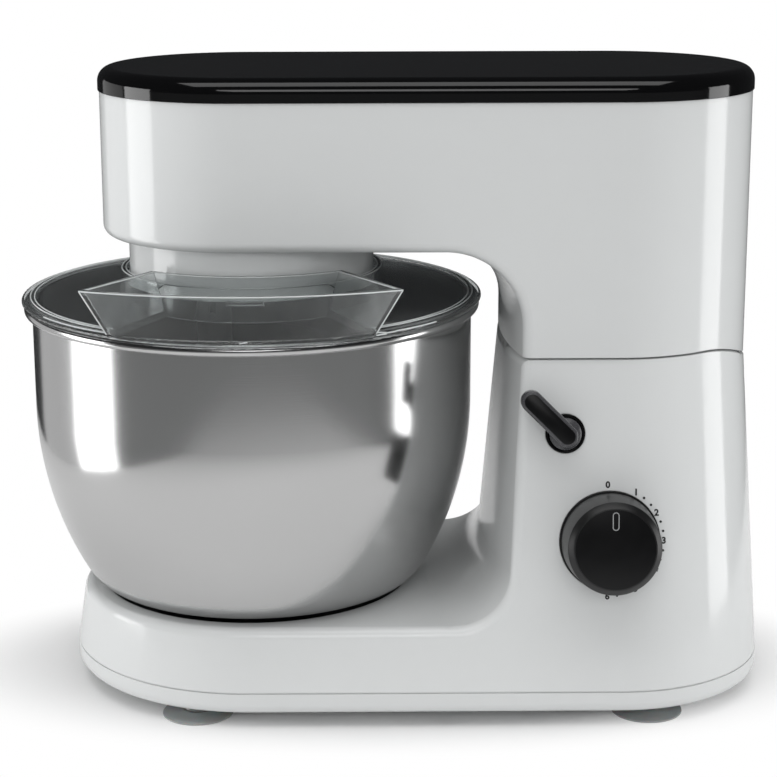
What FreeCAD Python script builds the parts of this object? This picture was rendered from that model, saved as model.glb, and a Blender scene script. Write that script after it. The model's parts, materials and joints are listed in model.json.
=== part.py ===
import FreeCAD, Part
import math
import os

V = FreeCAD.Vector
X_AXIS = V(1, 0, 0)
Y_AXIS = V(0, 1, 0)
Z_AXIS = V(0, 0, 1)

# Every length is in millimetres. Plan sizes are measured from the bowl's upright axis.
# +X runs from the bowl to the column, +Z is up, and z = 0 is the worktop.

# Base and column
DECK_MARGIN = 15.0        # deck between the bowl's recess and the base's round front
COLUMN_DEPTH = 133.0      # column's face to the back of the base
BASE_CORNER = 75.5        # plan radius of the base's rear corners
BASE_BOTTOM_Z = 7.5
SPLIT_Z = 19.0            # split between base plate and housing
DECK_Z = 50.0             # flat top of the base around the bowl
WALL = 3.0                # moulded wall of all housings
EDGE_R = 5.0              # rounding of the housings' long edges
PLATE_EDGE_R = 5.0        # rounding under the base plate
SEAM = 0.6                # shadow groove between two mouldings

# Column's face towards the bowl: a gentle bulge in plan, a slight slope and a round foot on the deck
BOWL_CLEAR = 14.5         # bowl's wall to the column's face
FACE_BULGE_R = 300.0
FACE_LEAN_ANGLE = 5.0
TOE_R = 28.0

# Head
HEAD_HALF = 70.0          # half width of the head, and radius of its round ends
HEAD_FRONT = 74.0         # bowl axis to the head's nose
HEAD_REAR_LEAN = 8.7      # back of the head in front of the back of the base
HEAD_SPLIT_Z = 180.0      # split between column and head
HEAD_BOTTOM_Z = 231.5     # underside of the arm
HEAD_TOP_Z = 303.0        # underside of the top cover
ARM_CORNER_R = 36.0       # inner corner between arm and column
SPLIT_GAP = 1.0
COLUMN_TOP_INSET = 1.0    # column's top inside the head's outline
REAR_FLAT = 6.0           # flat at the middle of the column's round back
COVER_H = 11.3
COVER_R = 7.0             # rounding of the cover's top edge
COVER_LEDGE = 0.7         # cover stands proud of the head by this
COVER_LIP_T = 2.0         # lip of the cover inside the head

# Hinge of the head
HINGE_INSET = 27.8        # hinge axis in front of the head's back
HINGE_DROP = 40.0         # hinge axis below the head's split
HINGE_PIN_R = 5.0
HINGE_EYE_R = 10.0
HINGE_PLATE_T = 3.0
HINGE_PLATE_HALF = 42.0
HINGE_ARM_T = 5.0
HINGE_ARM_Y = 22.0        # inner side of each hinge arm
HINGE_ARM_NEAR = 6.0      # the arm's root runs from here
HINGE_ARM_FAR = 34.0      # to here, in front of the hinge axis
CHEEK_T = 4.0             # cheeks of the fixed yoke, outside the arms
CHEEK_GAP = 0.5
ARM_REAR_ANGLE = 92.0     # the column's slot for the arms, seen from the hinge axis
ARM_FRONT_ANGLE = 132.0
SLOT_PLAY = 1.0           # room about the arms in the slots of both housings
YOKE_SETBACK = 14.0       # front edge of the yoke behind the column's face
HINGE_PLATE_SETBACK = 22.4
HINGE_SCREW_Y = 35.0
YOKE_SCREW_Y = 16.0
SCREW_MARGIN = 7.0        # screw to the edge of its plate
TILT_MAX = 38.0

# Bowl
BOWL_R = 111.0
BOWL_T = 1.0
BOWL_ARC_R = 171.0
BOWL_SINK = 1.2           # bowl's underside below the deck
BOWL_HEEL_R = 24.0
BOWL_HEEL_ANGLE = 29.5
BOWL_RIM_Z = 197.0
BOWL_BEAD_R = 2.5
FOOT_RING_H = 7.2
FOOT_RING_INSET = 6.5     # foot ring inside the flat of the bowl's floor
FOOT_RING_T = 6.0
RECESS_PLAY = 7.5         # round opening in the deck outside the foot's lugs
LUG_REACH = 10.0
LUG_H = 2.8
LUG_SPAN_ANGLE = 24.0
LUG_COUNT = 3
TAB_H = 1.8

# Splash guard
LID_OVERHANG = 5.0        # guard's edge outside the bowl's wall
LID_T = 2.7
LID_LIP_INSET = 3.5       # guard's inner lip inside the bowl's wall
LID_LIP_H = 4.0
LID_WALL = 2.0
LID_BEAD_INSET = 4.5      # raised bead inside the guard's edge
LID_BEAD_W = 2.0
LID_BEAD_H = 0.8
COLLAR_H = 16.5           # height of the collar above the guard's underside
CHUTE_H = 22.7            # height of the chute above the guard's underside
CHUTE_SETBACK = 0.7       # chute's foot inside the guard's edge
CHUTE_TOP_HALF = 75.0
CHUTE_TOP_SIDE_INSET = 19.5   # ends of the chute's front edge inside the guard's radius
CHUTE_TOP_MID_INSET = 4.0     # middle of the chute's front edge inside the guard's radius
CHUTE_LOW_HALF = 61.5
CHUTE_BACK_TOP_HALF = 46.0
CHUTE_BACK_LOW_HALF = 40.0
CHUTE_BACK_Y = 49.0
GUARD_TAB_ANGLE = 16.0    # each clip on the collar's inside
GUARD_TAB_TURN_ANGLE = 30.0
GUARD_TABS = 3

# Hub under the arm, with the planet drive
HUB_R = 61.5
HUB_H = 24.5
HUB_WALL = 3.5
HUB_WEB = 4.5
CARRIER_R = 54.0
CARRIER_H = 7.0
RING_MODULE = 1.25
RING_TEETH = 44
PLANET_TEETH = 12
RING_OUT_R = 36.0
PLANET_H = 8.0

# Gear train
MAIN_MODULE = 1.5
MAIN_TEETH = 60
MAIN_PINION_TEETH = 15
SECOND_MODULE = 1.0
SECOND_TEETH = 64
FIRST_PINION_TEETH = 16
GEAR_H = 10.0
SMALL_GEAR_H = 8.0
PINION_MARGIN = 1.0       # a pinion stands past its wheel by this on each side
BACKLASH = 0.12
MAIN_SHAFT_R = 6.0
SECOND_SHAFT_R = 5.0
FIRST_SHAFT_R = 4.0
TOOL_SHAFT_R = 5.0
GEARBOX_PLATE = 4.0
GEARBOX_TOP_PLATE = 3.0
GEARBOX_GAP = 34.0        # clear height between the gearbox plates
GEARBOX_HALF = 59.0
GEARBOX_FRONT = 42.0      # gearbox plates in front of the bowl's axis
GEARBOX_TAIL = 27.0       # gearbox plates behind the first shaft
GEARBOX_CORNER = 25.0
MAIN_GEAR_RISE = 7.0      # main gear above the lower plate
SECOND_GEAR_RISE = 6.0    # second gear above the main gear
PULLEY_RISE = 2.0         # pulleys above the gearbox screws
PILLAR_R = 4.0
BUSH_T = 3.0
FIT = 0.05                # radial play of shafts and pins in their bores

# Belt drive and motor
MOTOR_SETBACK = 59.5      # motor axis behind the column's face
BIG_PULLEY_R = 38.0
MOTOR_PULLEY_R = 8.5
PULLEY_H = 12.0
PULLEY_FLANGE = 2.0
BELT_T = 2.5
STATOR_R = 40.0
STATOR_H = 40.0
STATOR_ACROSS = 72.0
ROTOR_R = 20.8
AIR_GAP = 0.4
ROTOR_SHAFT_R = 4.0
COMMUTATOR_R = 11.0
COMMUTATOR_H = 8.0
COMMUTATOR_RISE = 1.5
ROTOR_SLOTS = 12
ROTOR_SLOT_W = 2.4
ROTOR_SLOT_DEPTH = 7.0
BRUSH_W = 6.0
BRUSH_H = 6.0
BRUSH_L = 16.0
HOLDER_WALL = 1.5
COIL_W = 28.0
COIL_T = 7.0
COIL_WEB = 2.8            # iron between coil and rotor
COIL_PAST = 5.0           # coil ends past the stator
FAN_R = 27.0
FAN_HUB_R = 9.0
FAN_H = 7.0
FAN_BLADES = 9
FAN_BLADE_T = 1.6
FAN_RISE = 6.5
BRACKET_T = 4.0
BRACKET_HALF = 10.0
BRACKET_END = 8.0         # bracket bars past the long bolts
BRUSH_BAR_HALF = 7.0
POST_R = 4.0
POST_OFF = 33.0           # motor axis to each long bolt
POST_H = 15.5

# Knob and lever on the near wall
KNOB_SETBACK = 49.8       # knob axis behind the column's face
KNOB_Z = 92.5
KNOB_BASE_R = 23.6
KNOB_FACE_R = 19.6
KNOB_H = 25.0
KNOB_SHAFT_R = 3.0
BEZEL_R = 24.5
LEVER_SETBACK = 28.0      # lever axis behind the column's face
LEVER_Z = 144.3
LEVER_LEN = 23.6
LEVER_W = 10.5
LEVER_ANGLE = 135.3
LEVER_H = 9.0
LEVER_CAP = 3.0           # solid front of the lever
LEVER_STAND = 4.5         # lever's back above the wall
LEVER_BEZEL_R = 9.6
LEVER_SHAFT_R = 4.5
LEVER_BUSH = 14.0         # length of the lever's bush behind the wall
SPRING_WIRE_R = 0.8
SPRING_TURNS = 4
SPRING_SECTIONS = 20      # straight lengths in a turn of the coil
HOOK_DEPTH = 26.0         # latch hook's near side behind the wall
HOOK_T = 5.0
HOOK_H = 24.0
HOOK_NOSE_H = 4.0
HOOK_W = 6.0
CATCH_SETBACK = 17.7      # front of the head's catch behind the column's face
CATCH_Y = -45.5
CATCH_W = 5.0
CATCH_T = 3.5
CATCH_REACH = 3.0         # toe of the catch
CATCH_FOOT = 20.0
CATCH_RISE = 11.5         # toe of the catch above the lever's axis
LATCH_GAP = 3.2           # between the catch's toe and the hook
BEZEL_DEPTH = 3.0
BEZEL_PROUD = 0.8
KNOB_GAP = 1.2            # knob's back above the wall
KNOB_RIM = 3.0            # straight part of the knob's skirt
KNOB_CHAMFER = 2.8
KNOB_CAP = 5.0            # solid front of the knob
POINTER_W = 1.8
POINTER_DEPTH = 0.8
SWITCH_R = 13.0
SWITCH_H = 12.0
BOARD_W = 56.0
BOARD_H = 46.0
BOARD_T = 1.6

# Feet
FOOT_R = 17.6
FOOT_SIDE = 23.0          # foot's axis inside the base's side
FOOT_FRONT_X = -27.0
FOOT_REAR = 61.7          # rear feet in front of the back of the base
FOOT_LIP = 2.4
FOOT_RIM = 0.9
FOOT_HOLLOW = 1.0
STUD_R = 7.0

# Panel in the back wall, with the cord gland
PANEL_HALF = 15.0
PANEL_TOP_Z = 63.0
PANEL_BACK = 2.0          # plate behind the wall that holds the panel in its notch
PANEL_LAP = 4.0           # the plate's overlap on the wall
GLAND_R = 8.0
GLAND_Z = 45.0
GLAND_LEN = 12.0
GLAND_FLANGE = 2.0

# Dough hook
HOOK_ROD_R = 5.0
HOOK_BEND_R = 30.0
HOOK_BOW_R = 34.0
HOOK_TURN_ANGLE = 60.0
HOOK_END_ANGLE = 300.0
HOOK_STEM = 19.0          # straight rod between socket and bend
HOOK_SOCKET_R = 9.0
HOOK_SOCKET_H = 28.0
HOOK_SOCKET_GAP = 12.0    # socket under the planet carrier
TOOL_PIN_R = 1.6
TOOL_PIN_DROP = 7.0       # bayonet pin below the socket's top

# Screws
SCREW_R = 2.0
SCREW_HEAD_R = 3.8
SCREW_HEAD_H = 2.2
BASE_SCREW_LEN = 20.0
LONG_GRIP = 10.0          # thread of the longer screws in their posts
SHORT_GRIP = 2.0
BOSS_R = 5.0
SIDE_BOSS_INSET = 29.0    # side screws in front of the column's face
POST_FOOT_R = 6.5

# Heights and places that follow from the sizes above
REST_GAP = 0.3            # clearance between a loose piece and its seat
HEEL_TURN = math.radians(BOWL_HEEL_ANGLE)
HEEL_CENTRE_R = BOWL_R - BOWL_ARC_R + (BOWL_ARC_R - BOWL_HEEL_R) * math.cos(HEEL_TURN)
BOWL_BOTTOM_Z = DECK_Z - BOWL_SINK
HEEL_CENTRE_Z = BOWL_BOTTOM_Z + BOWL_HEEL_R
BOWL_ARC_TOP_Z = HEEL_CENTRE_Z + (BOWL_ARC_R - BOWL_HEEL_R) * math.sin(HEEL_TURN)
FOOT_RING_R = HEEL_CENTRE_R - FOOT_RING_INSET
RECESS_R = FOOT_RING_R + LUG_REACH + RECESS_PLAY
BASE_HALF = RECESS_R + DECK_MARGIN
FACE_X = BOWL_R + BOWL_CLEAR
BASE_REAR = FACE_X + COLUMN_DEPTH
HEAD_REAR = BASE_REAR - HEAD_REAR_LEAN
COLUMN_TOP_REAR = HEAD_REAR - COLUMN_TOP_INSET
COLUMN_TOP_HALF = HEAD_HALF - COLUMN_TOP_INSET
HINGE_X = HEAD_REAR - HINGE_INSET
MOTOR_X = FACE_X + MOTOR_SETBACK
KNOB_X = FACE_X + KNOB_SETBACK
LEVER_X = FACE_X + LEVER_SETBACK
CATCH_X = FACE_X + CATCH_SETBACK
LID_R = BOWL_R + LID_OVERHANG
LID_LIP_R = BOWL_R - LID_LIP_INSET
CHUTE_TOP_SIDE_Y = LID_R - CHUTE_TOP_SIDE_INSET
CHUTE_TOP_MID_Y = LID_R - CHUTE_TOP_MID_INSET
FOOT_Y = BASE_HALF - FOOT_SIDE
FOOT_REAR_X = BASE_REAR - FOOT_REAR
HINGE_Z = HEAD_SPLIT_Z - HINGE_DROP
HEAD_FLOOR_Z = HEAD_SPLIT_Z + SPLIT_GAP / 2 + WALL
COLUMN_TOP_Z = HEAD_SPLIT_Z - SPLIT_GAP / 2
ARM_FLOOR_Z = HEAD_BOTTOM_Z + WALL
FOOT_RING_Z = BOWL_BOTTOM_Z - FOOT_RING_H
SEAT_FLOOR_Z = FOOT_RING_Z - REST_GAP
LUG_Z = FOOT_RING_Z + REST_GAP
TAB_Z = LUG_Z + LUG_H + REST_GAP
LID_Z = BOWL_RIM_Z + REST_GAP
LID_TOP_Z = LID_Z + LID_T
COLLAR_R = HUB_R + LID_WALL
HUB_Z = HEAD_BOTTOM_Z - HUB_H
WEB_Z = HEAD_BOTTOM_Z - HUB_WEB
RING_R = RING_MODULE * RING_TEETH / 2
PLANET_R = RING_MODULE * PLANET_TEETH / 2
TOOL_X = PLANET_R - RING_R
SECOND_X = MAIN_MODULE * (MAIN_TEETH + MAIN_PINION_TEETH) / 2
FIRST_X = SECOND_X + SECOND_MODULE * (SECOND_TEETH + FIRST_PINION_TEETH) / 2
GEARBOX_Z = ARM_FLOOR_Z
GEARBOX_TOP_Z = GEARBOX_Z + GEARBOX_PLATE + GEARBOX_GAP
MAIN_GEAR_Z = GEARBOX_Z + GEARBOX_PLATE + MAIN_GEAR_RISE
SECOND_GEAR_Z = MAIN_GEAR_Z + GEAR_H + SECOND_GEAR_RISE
PULLEY_Z = GEARBOX_TOP_Z + GEARBOX_TOP_PLATE + SCREW_HEAD_H + PULLEY_RISE
RING_H = PLANET_H + 2 * PINION_MARGIN
RING_Z = WEB_Z - RING_H
CARRIER_Z = RING_Z - PINION_MARGIN - CARRIER_H
MOTOR_Z = HEAD_FLOOR_Z + HINGE_PLATE_T
STATOR_Z = MOTOR_Z + BRACKET_T + POST_H
UPPER_BRACKET_Z = STATOR_Z + STATOR_H + POST_H
WALL_LEAN = (BASE_HALF - COLUMN_TOP_HALF) / (HEAD_SPLIT_Z - SPLIT_Z)
WALL_TILT = math.degrees(math.atan(WALL_LEAN))
ARM_OUTER_Y = HINGE_ARM_Y + HINGE_ARM_T
ARM_ROOT = (HINGE_X - HINGE_ARM_FAR, HINGE_X - HINGE_ARM_NEAR)
CHEEK_Y = ARM_OUTER_Y + CHEEK_GAP
CHEEK_OUTER_Y = CHEEK_Y + CHEEK_T
YOKE_X = (FACE_X + YOKE_SETBACK, ARM_ROOT[0] - CHEEK_T)
YOKE_Z = COLUMN_TOP_Z - WALL - HINGE_PLATE_T
YOKE_SCREWS = [(x, side * YOKE_SCREW_Y) for x in (YOKE_X[0] + SCREW_MARGIN, YOKE_X[1] - SCREW_MARGIN)
               for side in (-1, 1)]
HINGE_PLATE_X = (FACE_X + HINGE_PLATE_SETBACK, ARM_ROOT[1] + CHEEK_T)
HINGE_SCREW_X = (HINGE_PLATE_X[0] + SCREW_MARGIN, HINGE_PLATE_X[1] - SCREW_MARGIN)
HINGE_SCREWS = [(x, side * HINGE_SCREW_Y) for x in HINGE_SCREW_X for side in (-1, 1)]
SIDE_BOSS_X = FACE_X - SIDE_BOSS_INSET
SIDE_BOSS_Y = BASE_HALF - WALL - 1.6 * BOSS_R
CORNER_REACH = BASE_CORNER - WALL - 1.4 * BOSS_R
CORNER_BOSS_X = BASE_REAR - BASE_CORNER + CORNER_REACH * math.cos(math.pi / 6)
CORNER_BOSS_Y = BASE_HALF - BASE_CORNER + CORNER_REACH * math.sin(math.pi / 6)
BASE_SCREWS = [(x, side * y) for x, y in ((SIDE_BOSS_X, SIDE_BOSS_Y), (CORNER_BOSS_X, CORNER_BOSS_Y))
               for side in (-1, 1)]
FEET = [(x, side * FOOT_Y) for x in (FOOT_FRONT_X, FOOT_REAR_X) for side in (-1, 1)]
SEAT_SCREW_R = FOOT_RING_R - FOOT_RING_T - 3 * SCREW_HEAD_R
SEAT_TURNS = [2 * math.pi * i / 3 for i in range(3)]
SEAT_SCREWS = [(SEAT_SCREW_R * math.cos(a), SEAT_SCREW_R * math.sin(a)) for a in SEAT_TURNS]
PILLAR_SPOTS = ((-0.7 * GEARBOX_FRONT, GEARBOX_HALF - 3 * PILLAR_R),
                (SECOND_X - 5 * PILLAR_R, GEARBOX_HALF - 1.75 * PILLAR_R),
                (FIRST_X + 4 * PILLAR_R, GEARBOX_HALF - 6.5 * PILLAR_R))
PILLARS = [(x, side * y) for x, y in PILLAR_SPOTS for side in (-1, 1)]
CATCH_TOE_Z = LEVER_Z + CATCH_RISE
HOOK_TOP_Z = CARRIER_Z - HOOK_SOCKET_GAP
HOOK_PIN_Z = HOOK_TOP_Z - TOOL_PIN_DROP
HOOK_NECK_Z = HOOK_TOP_Z - HOOK_SOCKET_H
PLANET_Z = RING_Z + PINION_MARGIN
COMMUTATOR_Z = MOTOR_Z + BRACKET_T + COMMUTATOR_RISE
BRUSH_Z = COMMUTATOR_Z + (COMMUTATOR_H - BRUSH_H) / 2
GLAND_X = BASE_REAR + (COLUMN_TOP_REAR - BASE_REAR) * (GLAND_Z - SPLIT_Z) / (HEAD_SPLIT_Z - SPLIT_Z)
KNOB_TOP = KNOB_GAP + KNOB_H
SWITCH_BACK = BEZEL_DEPTH + SWITCH_H
FAR = 400.0               # reach of cutting shapes past the object


def cyl(r, z0, z1, x=0.0, y=0.0):
    """Upright cylinder."""
    return Part.makeCylinder(r, z1 - z0, V(x, y, z0))


def ring(r_out, r_in, z0, z1, x=0.0, y=0.0):
    """Upright tube."""
    return cyl(r_out, z0, z1, x, y).cut(cyl(r_in, z0, z1, x, y))


def sector(r_out, r_in, z0, z1, start, span):
    """Part of an upright tube, centred on the bowl's axis."""
    outer = Part.makeCylinder(r_out, z1 - z0, V(0, 0, z0), Z_AXIS, span)
    inner = Part.makeCylinder(r_in, z1 - z0, V(0, 0, z0), Z_AXIS, span)
    piece = outer.cut(inner)
    piece.rotate(V(0, 0, 0), Z_AXIS, start)
    return piece


def box(x0, x1, y0, y1, z0, z1):
    """Block between two corners."""
    return Part.makeBox(x1 - x0, y1 - y0, z1 - z0, V(x0, y0, z0))


def fuse(shapes):
    """One solid out of several."""
    return shapes[0].multiFuse(shapes[1:]).removeSplitter()


def cut(shape, tools):
    """A shape less several others."""
    return shape.cut(Part.makeCompound(tools)) if tools else shape


def line(a, b):
    """Straight edge."""
    return Part.LineSegment(a, b).toShape()


def arc(a, middle, b):
    """Round edge through three points."""
    return Part.Arc(a, middle, b).toShape()


def turn_xz(cx, cz, r, degrees):
    """Point on a circle that lies in the XZ plane."""
    a = math.radians(degrees)
    return V(cx + r * math.cos(a), 0, cz + r * math.sin(a))


def arc_xz(cx, cz, r, start, end):
    """Round edge in the XZ plane, between two angles."""
    middle = (start + end) / 2
    return arc(turn_xz(cx, cz, r, start), turn_xz(cx, cz, r, middle), turn_xz(cx, cz, r, end))


def chain(edges):
    """Closed face whose given edges are joined by straight ones where they don't meet."""
    joined = []
    for edge, following in zip(edges, edges[1:] + edges[:1]):
        joined.append(edge)
        end = edge.Curve.value(edge.LastParameter)
        start = following.Curve.value(following.FirstParameter)
        if end.distanceToPoint(start) > 1e-6:
            joined.append(line(end, start))
    return Part.Face(Part.Wire(joined))


def lathe(face, x=0.0):
    """Full turn of a face in the XZ plane about an upright axis."""
    return face.revolve(V(x, 0, 0), Z_AXIS, 360)


def stadium(front, rear, half, z0, z1):
    """Block with two straight sides and two round ends."""
    nose = -front + half
    tail = rear - half
    edges = [
        arc(V(nose, half, z0), V(-front, 0, z0), V(nose, -half, z0)),
        line(V(nose, -half, z0), V(tail, -half, z0)),
        arc(V(tail, -half, z0), V(rear, 0, z0), V(tail, half, z0)),
        line(V(tail, half, z0), V(nose, half, z0)),
    ]
    return Part.Face(Part.Wire(edges)).extrude(V(0, 0, z1 - z0))


def rounded_plate(x0, x1, half, corner, z0, z1):
    """Flat plate with round corners."""
    plate = box(x0, x1, -half, half, z0, z1)
    upright = [e for e in plate.Edges if abs(e.tangentAt(e.FirstParameter).z) > 0.9]
    return plate.makeFillet(corner, upright)


def base_plan(z, inset):
    """Outline of base and column at one height: round front, straight sides, cornered back."""
    share = (z - SPLIT_Z) / (HEAD_SPLIT_Z - SPLIT_Z)
    half = BASE_HALF + (COLUMN_TOP_HALF - BASE_HALF) * share - inset
    rear = BASE_REAR + (COLUMN_TOP_REAR - BASE_REAR) * share - inset
    corner = BASE_CORNER + (COLUMN_TOP_HALF - REAR_FLAT / 2 - BASE_CORNER) * share - inset
    cx = rear - corner
    cy = half - corner
    diagonal = corner * math.sqrt(0.5)
    edges = [
        arc(V(0, half, z), V(-half, 0, z), V(0, -half, z)),
        line(V(0, -half, z), V(cx, -half, z)),
        arc(V(cx, -half, z), V(cx + diagonal, -cy - diagonal, z), V(rear, -cy, z)),
        line(V(rear, -cy, z), V(rear, cy, z)),
        arc(V(rear, cy, z), V(cx + diagonal, cy + diagonal, z), V(cx, half, z)),
        line(V(cx, half, z), V(0, half, z)),
    ]
    return Part.Wire(edges)


def leaning_block(z0, z1, inset):
    """Base and column as one block, before the bowl's space is taken out."""
    return Part.makeLoft([base_plan(z0, inset), base_plan(z1, inset)], True, True)


def swept_space(face):
    """Turn a side profile about the far centre of the column's bulge."""
    centre = V(FACE_X + FACE_BULGE_R, 0, 0)
    half_turn = math.degrees(math.asin(min(0.9, 1.2 * BASE_HALF / FACE_BULGE_R)))
    start = face.copy()
    start.rotate(centre, Z_AXIS, -half_turn)
    return start.revolve(centre, Z_AXIS, 2 * half_turn)


def column_space(inset):
    """Space over the deck and in front of the column."""
    lean = math.radians(FACE_LEAN_ANGLE)
    centre_z = DECK_Z + TOE_R
    drop = HEAD_SPLIT_Z - centre_z + TOE_R * math.sin(lean)
    centre_x = FACE_X - drop * math.tan(lean) - TOE_R * math.cos(lean)
    top = HEAD_SPLIT_Z + FAR / 4
    top_x = FACE_X + FAR / 4 * math.tan(lean) + inset / math.cos(lean)
    edges = [
        line(V(-FAR / 2, 0, top), V(top_x, 0, top)),
        arc_xz(centre_x, centre_z, TOE_R + inset, -FACE_LEAN_ANGLE, -90),
        line(V(centre_x, 0, DECK_Z - inset), V(-FAR / 2, 0, DECK_Z - inset)),
    ]
    return swept_space(chain(edges))


def arm_space(inset):
    """Space under the arm and in front of the head's rear block."""
    low = DECK_Z
    corner_x = FACE_X - ARM_CORNER_R
    corner_z = HEAD_BOTTOM_Z - ARM_CORNER_R
    edges = [
        line(V(-FAR / 2, 0, low), V(FACE_X + inset, 0, low)),
        arc_xz(corner_x, corner_z, ARM_CORNER_R + inset, 0, 90),
        line(V(corner_x, 0, HEAD_BOTTOM_Z + inset), V(-FAR / 2, 0, HEAD_BOTTOM_Z + inset)),
    ]
    return swept_space(chain(edges))


def below_split(radius):
    """All that lies under the head's split: flat in front, round about the hinge at the back."""
    edges = [
        line(V(-FAR, 0, -FAR), V(FAR, 0, -FAR)),
        line(V(FAR, 0, -FAR), V(FAR, 0, HINGE_Z)),
        arc_xz(HINGE_X, HINGE_Z, radius, 0, 90),
        line(V(HINGE_X, 0, HINGE_Z + radius), V(-FAR, 0, HINGE_Z + radius)),
    ]
    face = chain(edges)
    face.translate(V(0, -FAR / 2, 0))
    return face.extrude(V(0, FAR, 0))


def round_open_edges(solid, block, space, radius):
    """Round the edges where a cut-out space breaks through a block's sides."""
    picked = []
    for edge in solid.Edges:
        middle = edge.valueAt((edge.FirstParameter + edge.LastParameter) / 2)
        if space.isInside(middle, 1e-3, True) and not block.isInside(middle, 1e-3, False):
            picked.append(edge)
    return solid.makeFillet(radius, picked)


def on_wall(shape, x, z):
    """Place a shape made about +Z so that it stands out of the near wall at a point."""
    y = -(BASE_HALF - WALL_LEAN * (z - SPLIT_Z))
    placed = shape.copy()
    placed.rotate(V(0, 0, 0), X_AXIS, 90 - WALL_TILT)
    placed.translate(V(x, y, z))
    return placed


def screw(x, y, head_z, length, down=True):
    """Pan-head screw; its shank points down or up from the head's underside."""
    if down:
        return fuse([cyl(SCREW_HEAD_R, head_z, head_z + SCREW_HEAD_H, x, y),
                     cyl(SCREW_R, head_z - length, head_z, x, y)])
    return fuse([cyl(SCREW_HEAD_R, head_z - SCREW_HEAD_H, head_z, x, y),
                 cyl(SCREW_R, head_z, head_z + length, x, y)])


def involute_outline(teeth, module, tip, root, play):
    """Closed outline of a spur gear, with involute flanks and a tooth on +X."""
    pitch = module * teeth / 2
    base = pitch * math.cos(math.radians(20))
    low = max(base, root)

    def flank_angle(r):
        roll = math.acos(min(1.0, base / r))
        return math.tan(roll) - roll

    half_tooth = math.pi / (2 * teeth) - play / (2 * pitch) + flank_angle(pitch)
    radii = [low + (tip - low) * share for share in (0.0, 0.3, 0.65, 1.0)]
    step = 2 * math.pi / teeth
    edges = []
    for index in range(teeth):
        centre = index * step

        def at(r, side):
            a = centre + side * (half_tooth - flank_angle(r))
            return V(r * math.cos(a), r * math.sin(a), 0)

        rising = Part.BSplineCurve()
        rising.interpolate([at(r, -1) for r in radii])
        falling = Part.BSplineCurve()
        falling.interpolate([at(r, 1) for r in reversed(radii)])
        a = centre - half_tooth + flank_angle(low)
        foot = V(root * math.cos(a), root * math.sin(a), 0)
        b = centre + half_tooth - flank_angle(low)
        heel = V(root * math.cos(b), root * math.sin(b), 0)
        turn = centre + step - half_tooth + flank_angle(low)
        following = V(root * math.cos(turn), root * math.sin(turn), 0)
        if low > root + 1e-6:
            edges.append(line(foot, at(low, -1)))
        edges.append(rising.toShape())
        edges.append(line(at(tip, -1), at(tip, 1)))
        edges.append(falling.toShape())
        if low > root + 1e-6:
            edges.append(line(at(low, 1), heel))
        edges.append(line(heel, following))
    return Part.Wire(edges)


def spur_gear(teeth, module, z0, z1, bore, x, turn=0.0):
    """Spur gear on an upright axis, with stub teeth and a plain bore."""
    pitch = module * teeth / 2
    outline = involute_outline(teeth, module, pitch + 0.8 * module, pitch - module, BACKLASH)
    gear = Part.Face(outline).extrude(V(0, 0, z1 - z0)).cut(cyl(bore, 0, z1 - z0))
    gear.rotate(V(0, 0, 0), Z_AXIS, turn)
    gear.translate(V(x, 0, z0))
    return gear


def mesh_turn(teeth):
    """Turn that puts a tooth gap of a gear on -X, to meet a tooth of its neighbour."""
    return 180 / teeth if teeth % 2 == 0 else 0.0


def ring_gear():
    """Internal gear that the planet pinion rolls in."""
    outline = involute_outline(RING_TEETH, RING_MODULE, RING_R + RING_MODULE,
                               RING_R - 0.5 * RING_MODULE, -BACKLASH)
    space = Part.Face(outline).extrude(V(0, 0, RING_H))
    space.rotate(V(0, 0, 0), Z_AXIS, 180)
    space.translate(V(0, 0, RING_Z))
    return cyl(RING_OUT_R, RING_Z, RING_Z + RING_H).cut(space)


def belt_loop(extra, z0, z1):
    """Solid loop about the two pulleys, its surface a distance outside their grooves."""
    big = BIG_PULLEY_R + extra
    small = MOTOR_PULLEY_R + extra
    lean = math.asin((big - small) / (MOTOR_X - FIRST_X))
    dx = math.sin(lean)
    dy = math.cos(lean)
    big_up = V(FIRST_X + big * dx, big * dy, z0)
    big_low = V(FIRST_X + big * dx, -big * dy, z0)
    small_up = V(MOTOR_X + small * dx, small * dy, z0)
    small_low = V(MOTOR_X + small * dx, -small * dy, z0)
    edges = [
        arc(big_up, V(FIRST_X - big, 0, z0), big_low),
        line(big_low, small_low),
        arc(small_low, V(MOTOR_X + small, 0, z0), small_up),
        line(small_up, big_up),
    ]
    return Part.Face(Part.Wire(edges)).extrude(V(0, 0, z1 - z0))


def pulley(groove, bore, x):
    """Flat pulley with a flange at each end."""
    flange = PULLEY_H / 8
    solid = fuse([
        cyl(groove, PULLEY_Z, PULLEY_Z + PULLEY_H, x),
        cyl(groove + PULLEY_FLANGE, PULLEY_Z, PULLEY_Z + flange, x),
        cyl(groove + PULLEY_FLANGE, PULLEY_Z + PULLEY_H - flange, PULLEY_Z + PULLEY_H, x),
    ])
    return solid.cut(cyl(bore, PULLEY_Z, PULLEY_Z + PULLEY_H, x))


def mirrored(shape):
    """The shape's copy on the far side of the head's middle plane."""
    return shape.mirror(V(0, 0, 0), Y_AXIS)


def plate_xz(points, y0, y1):
    """Flat plate with a straight-sided outline in the XZ plane."""
    corners = [V(x, y0, z) for x, z in points]
    return Part.Face(Part.makePolygon(corners + corners[:1])).extrude(V(0, y1 - y0, 0))


def rod_y(r, y0, y1, x, z):
    """Cylinder along Y."""
    return Part.makeCylinder(r, y1 - y0, V(x, y0, z), Y_AXIS)


def back_wall(near, far, half, z0, z1):
    """Slab of the column's back wall between two depths, over a width and a height."""
    slab = leaning_block(SPLIT_Z, HEAD_SPLIT_Z, near).cut(leaning_block(SPLIT_Z, HEAD_SPLIT_Z, far))
    return slab.common(box(HINGE_X, BASE_REAR + 2 * WALL, -half, half, z0, z1))


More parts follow.
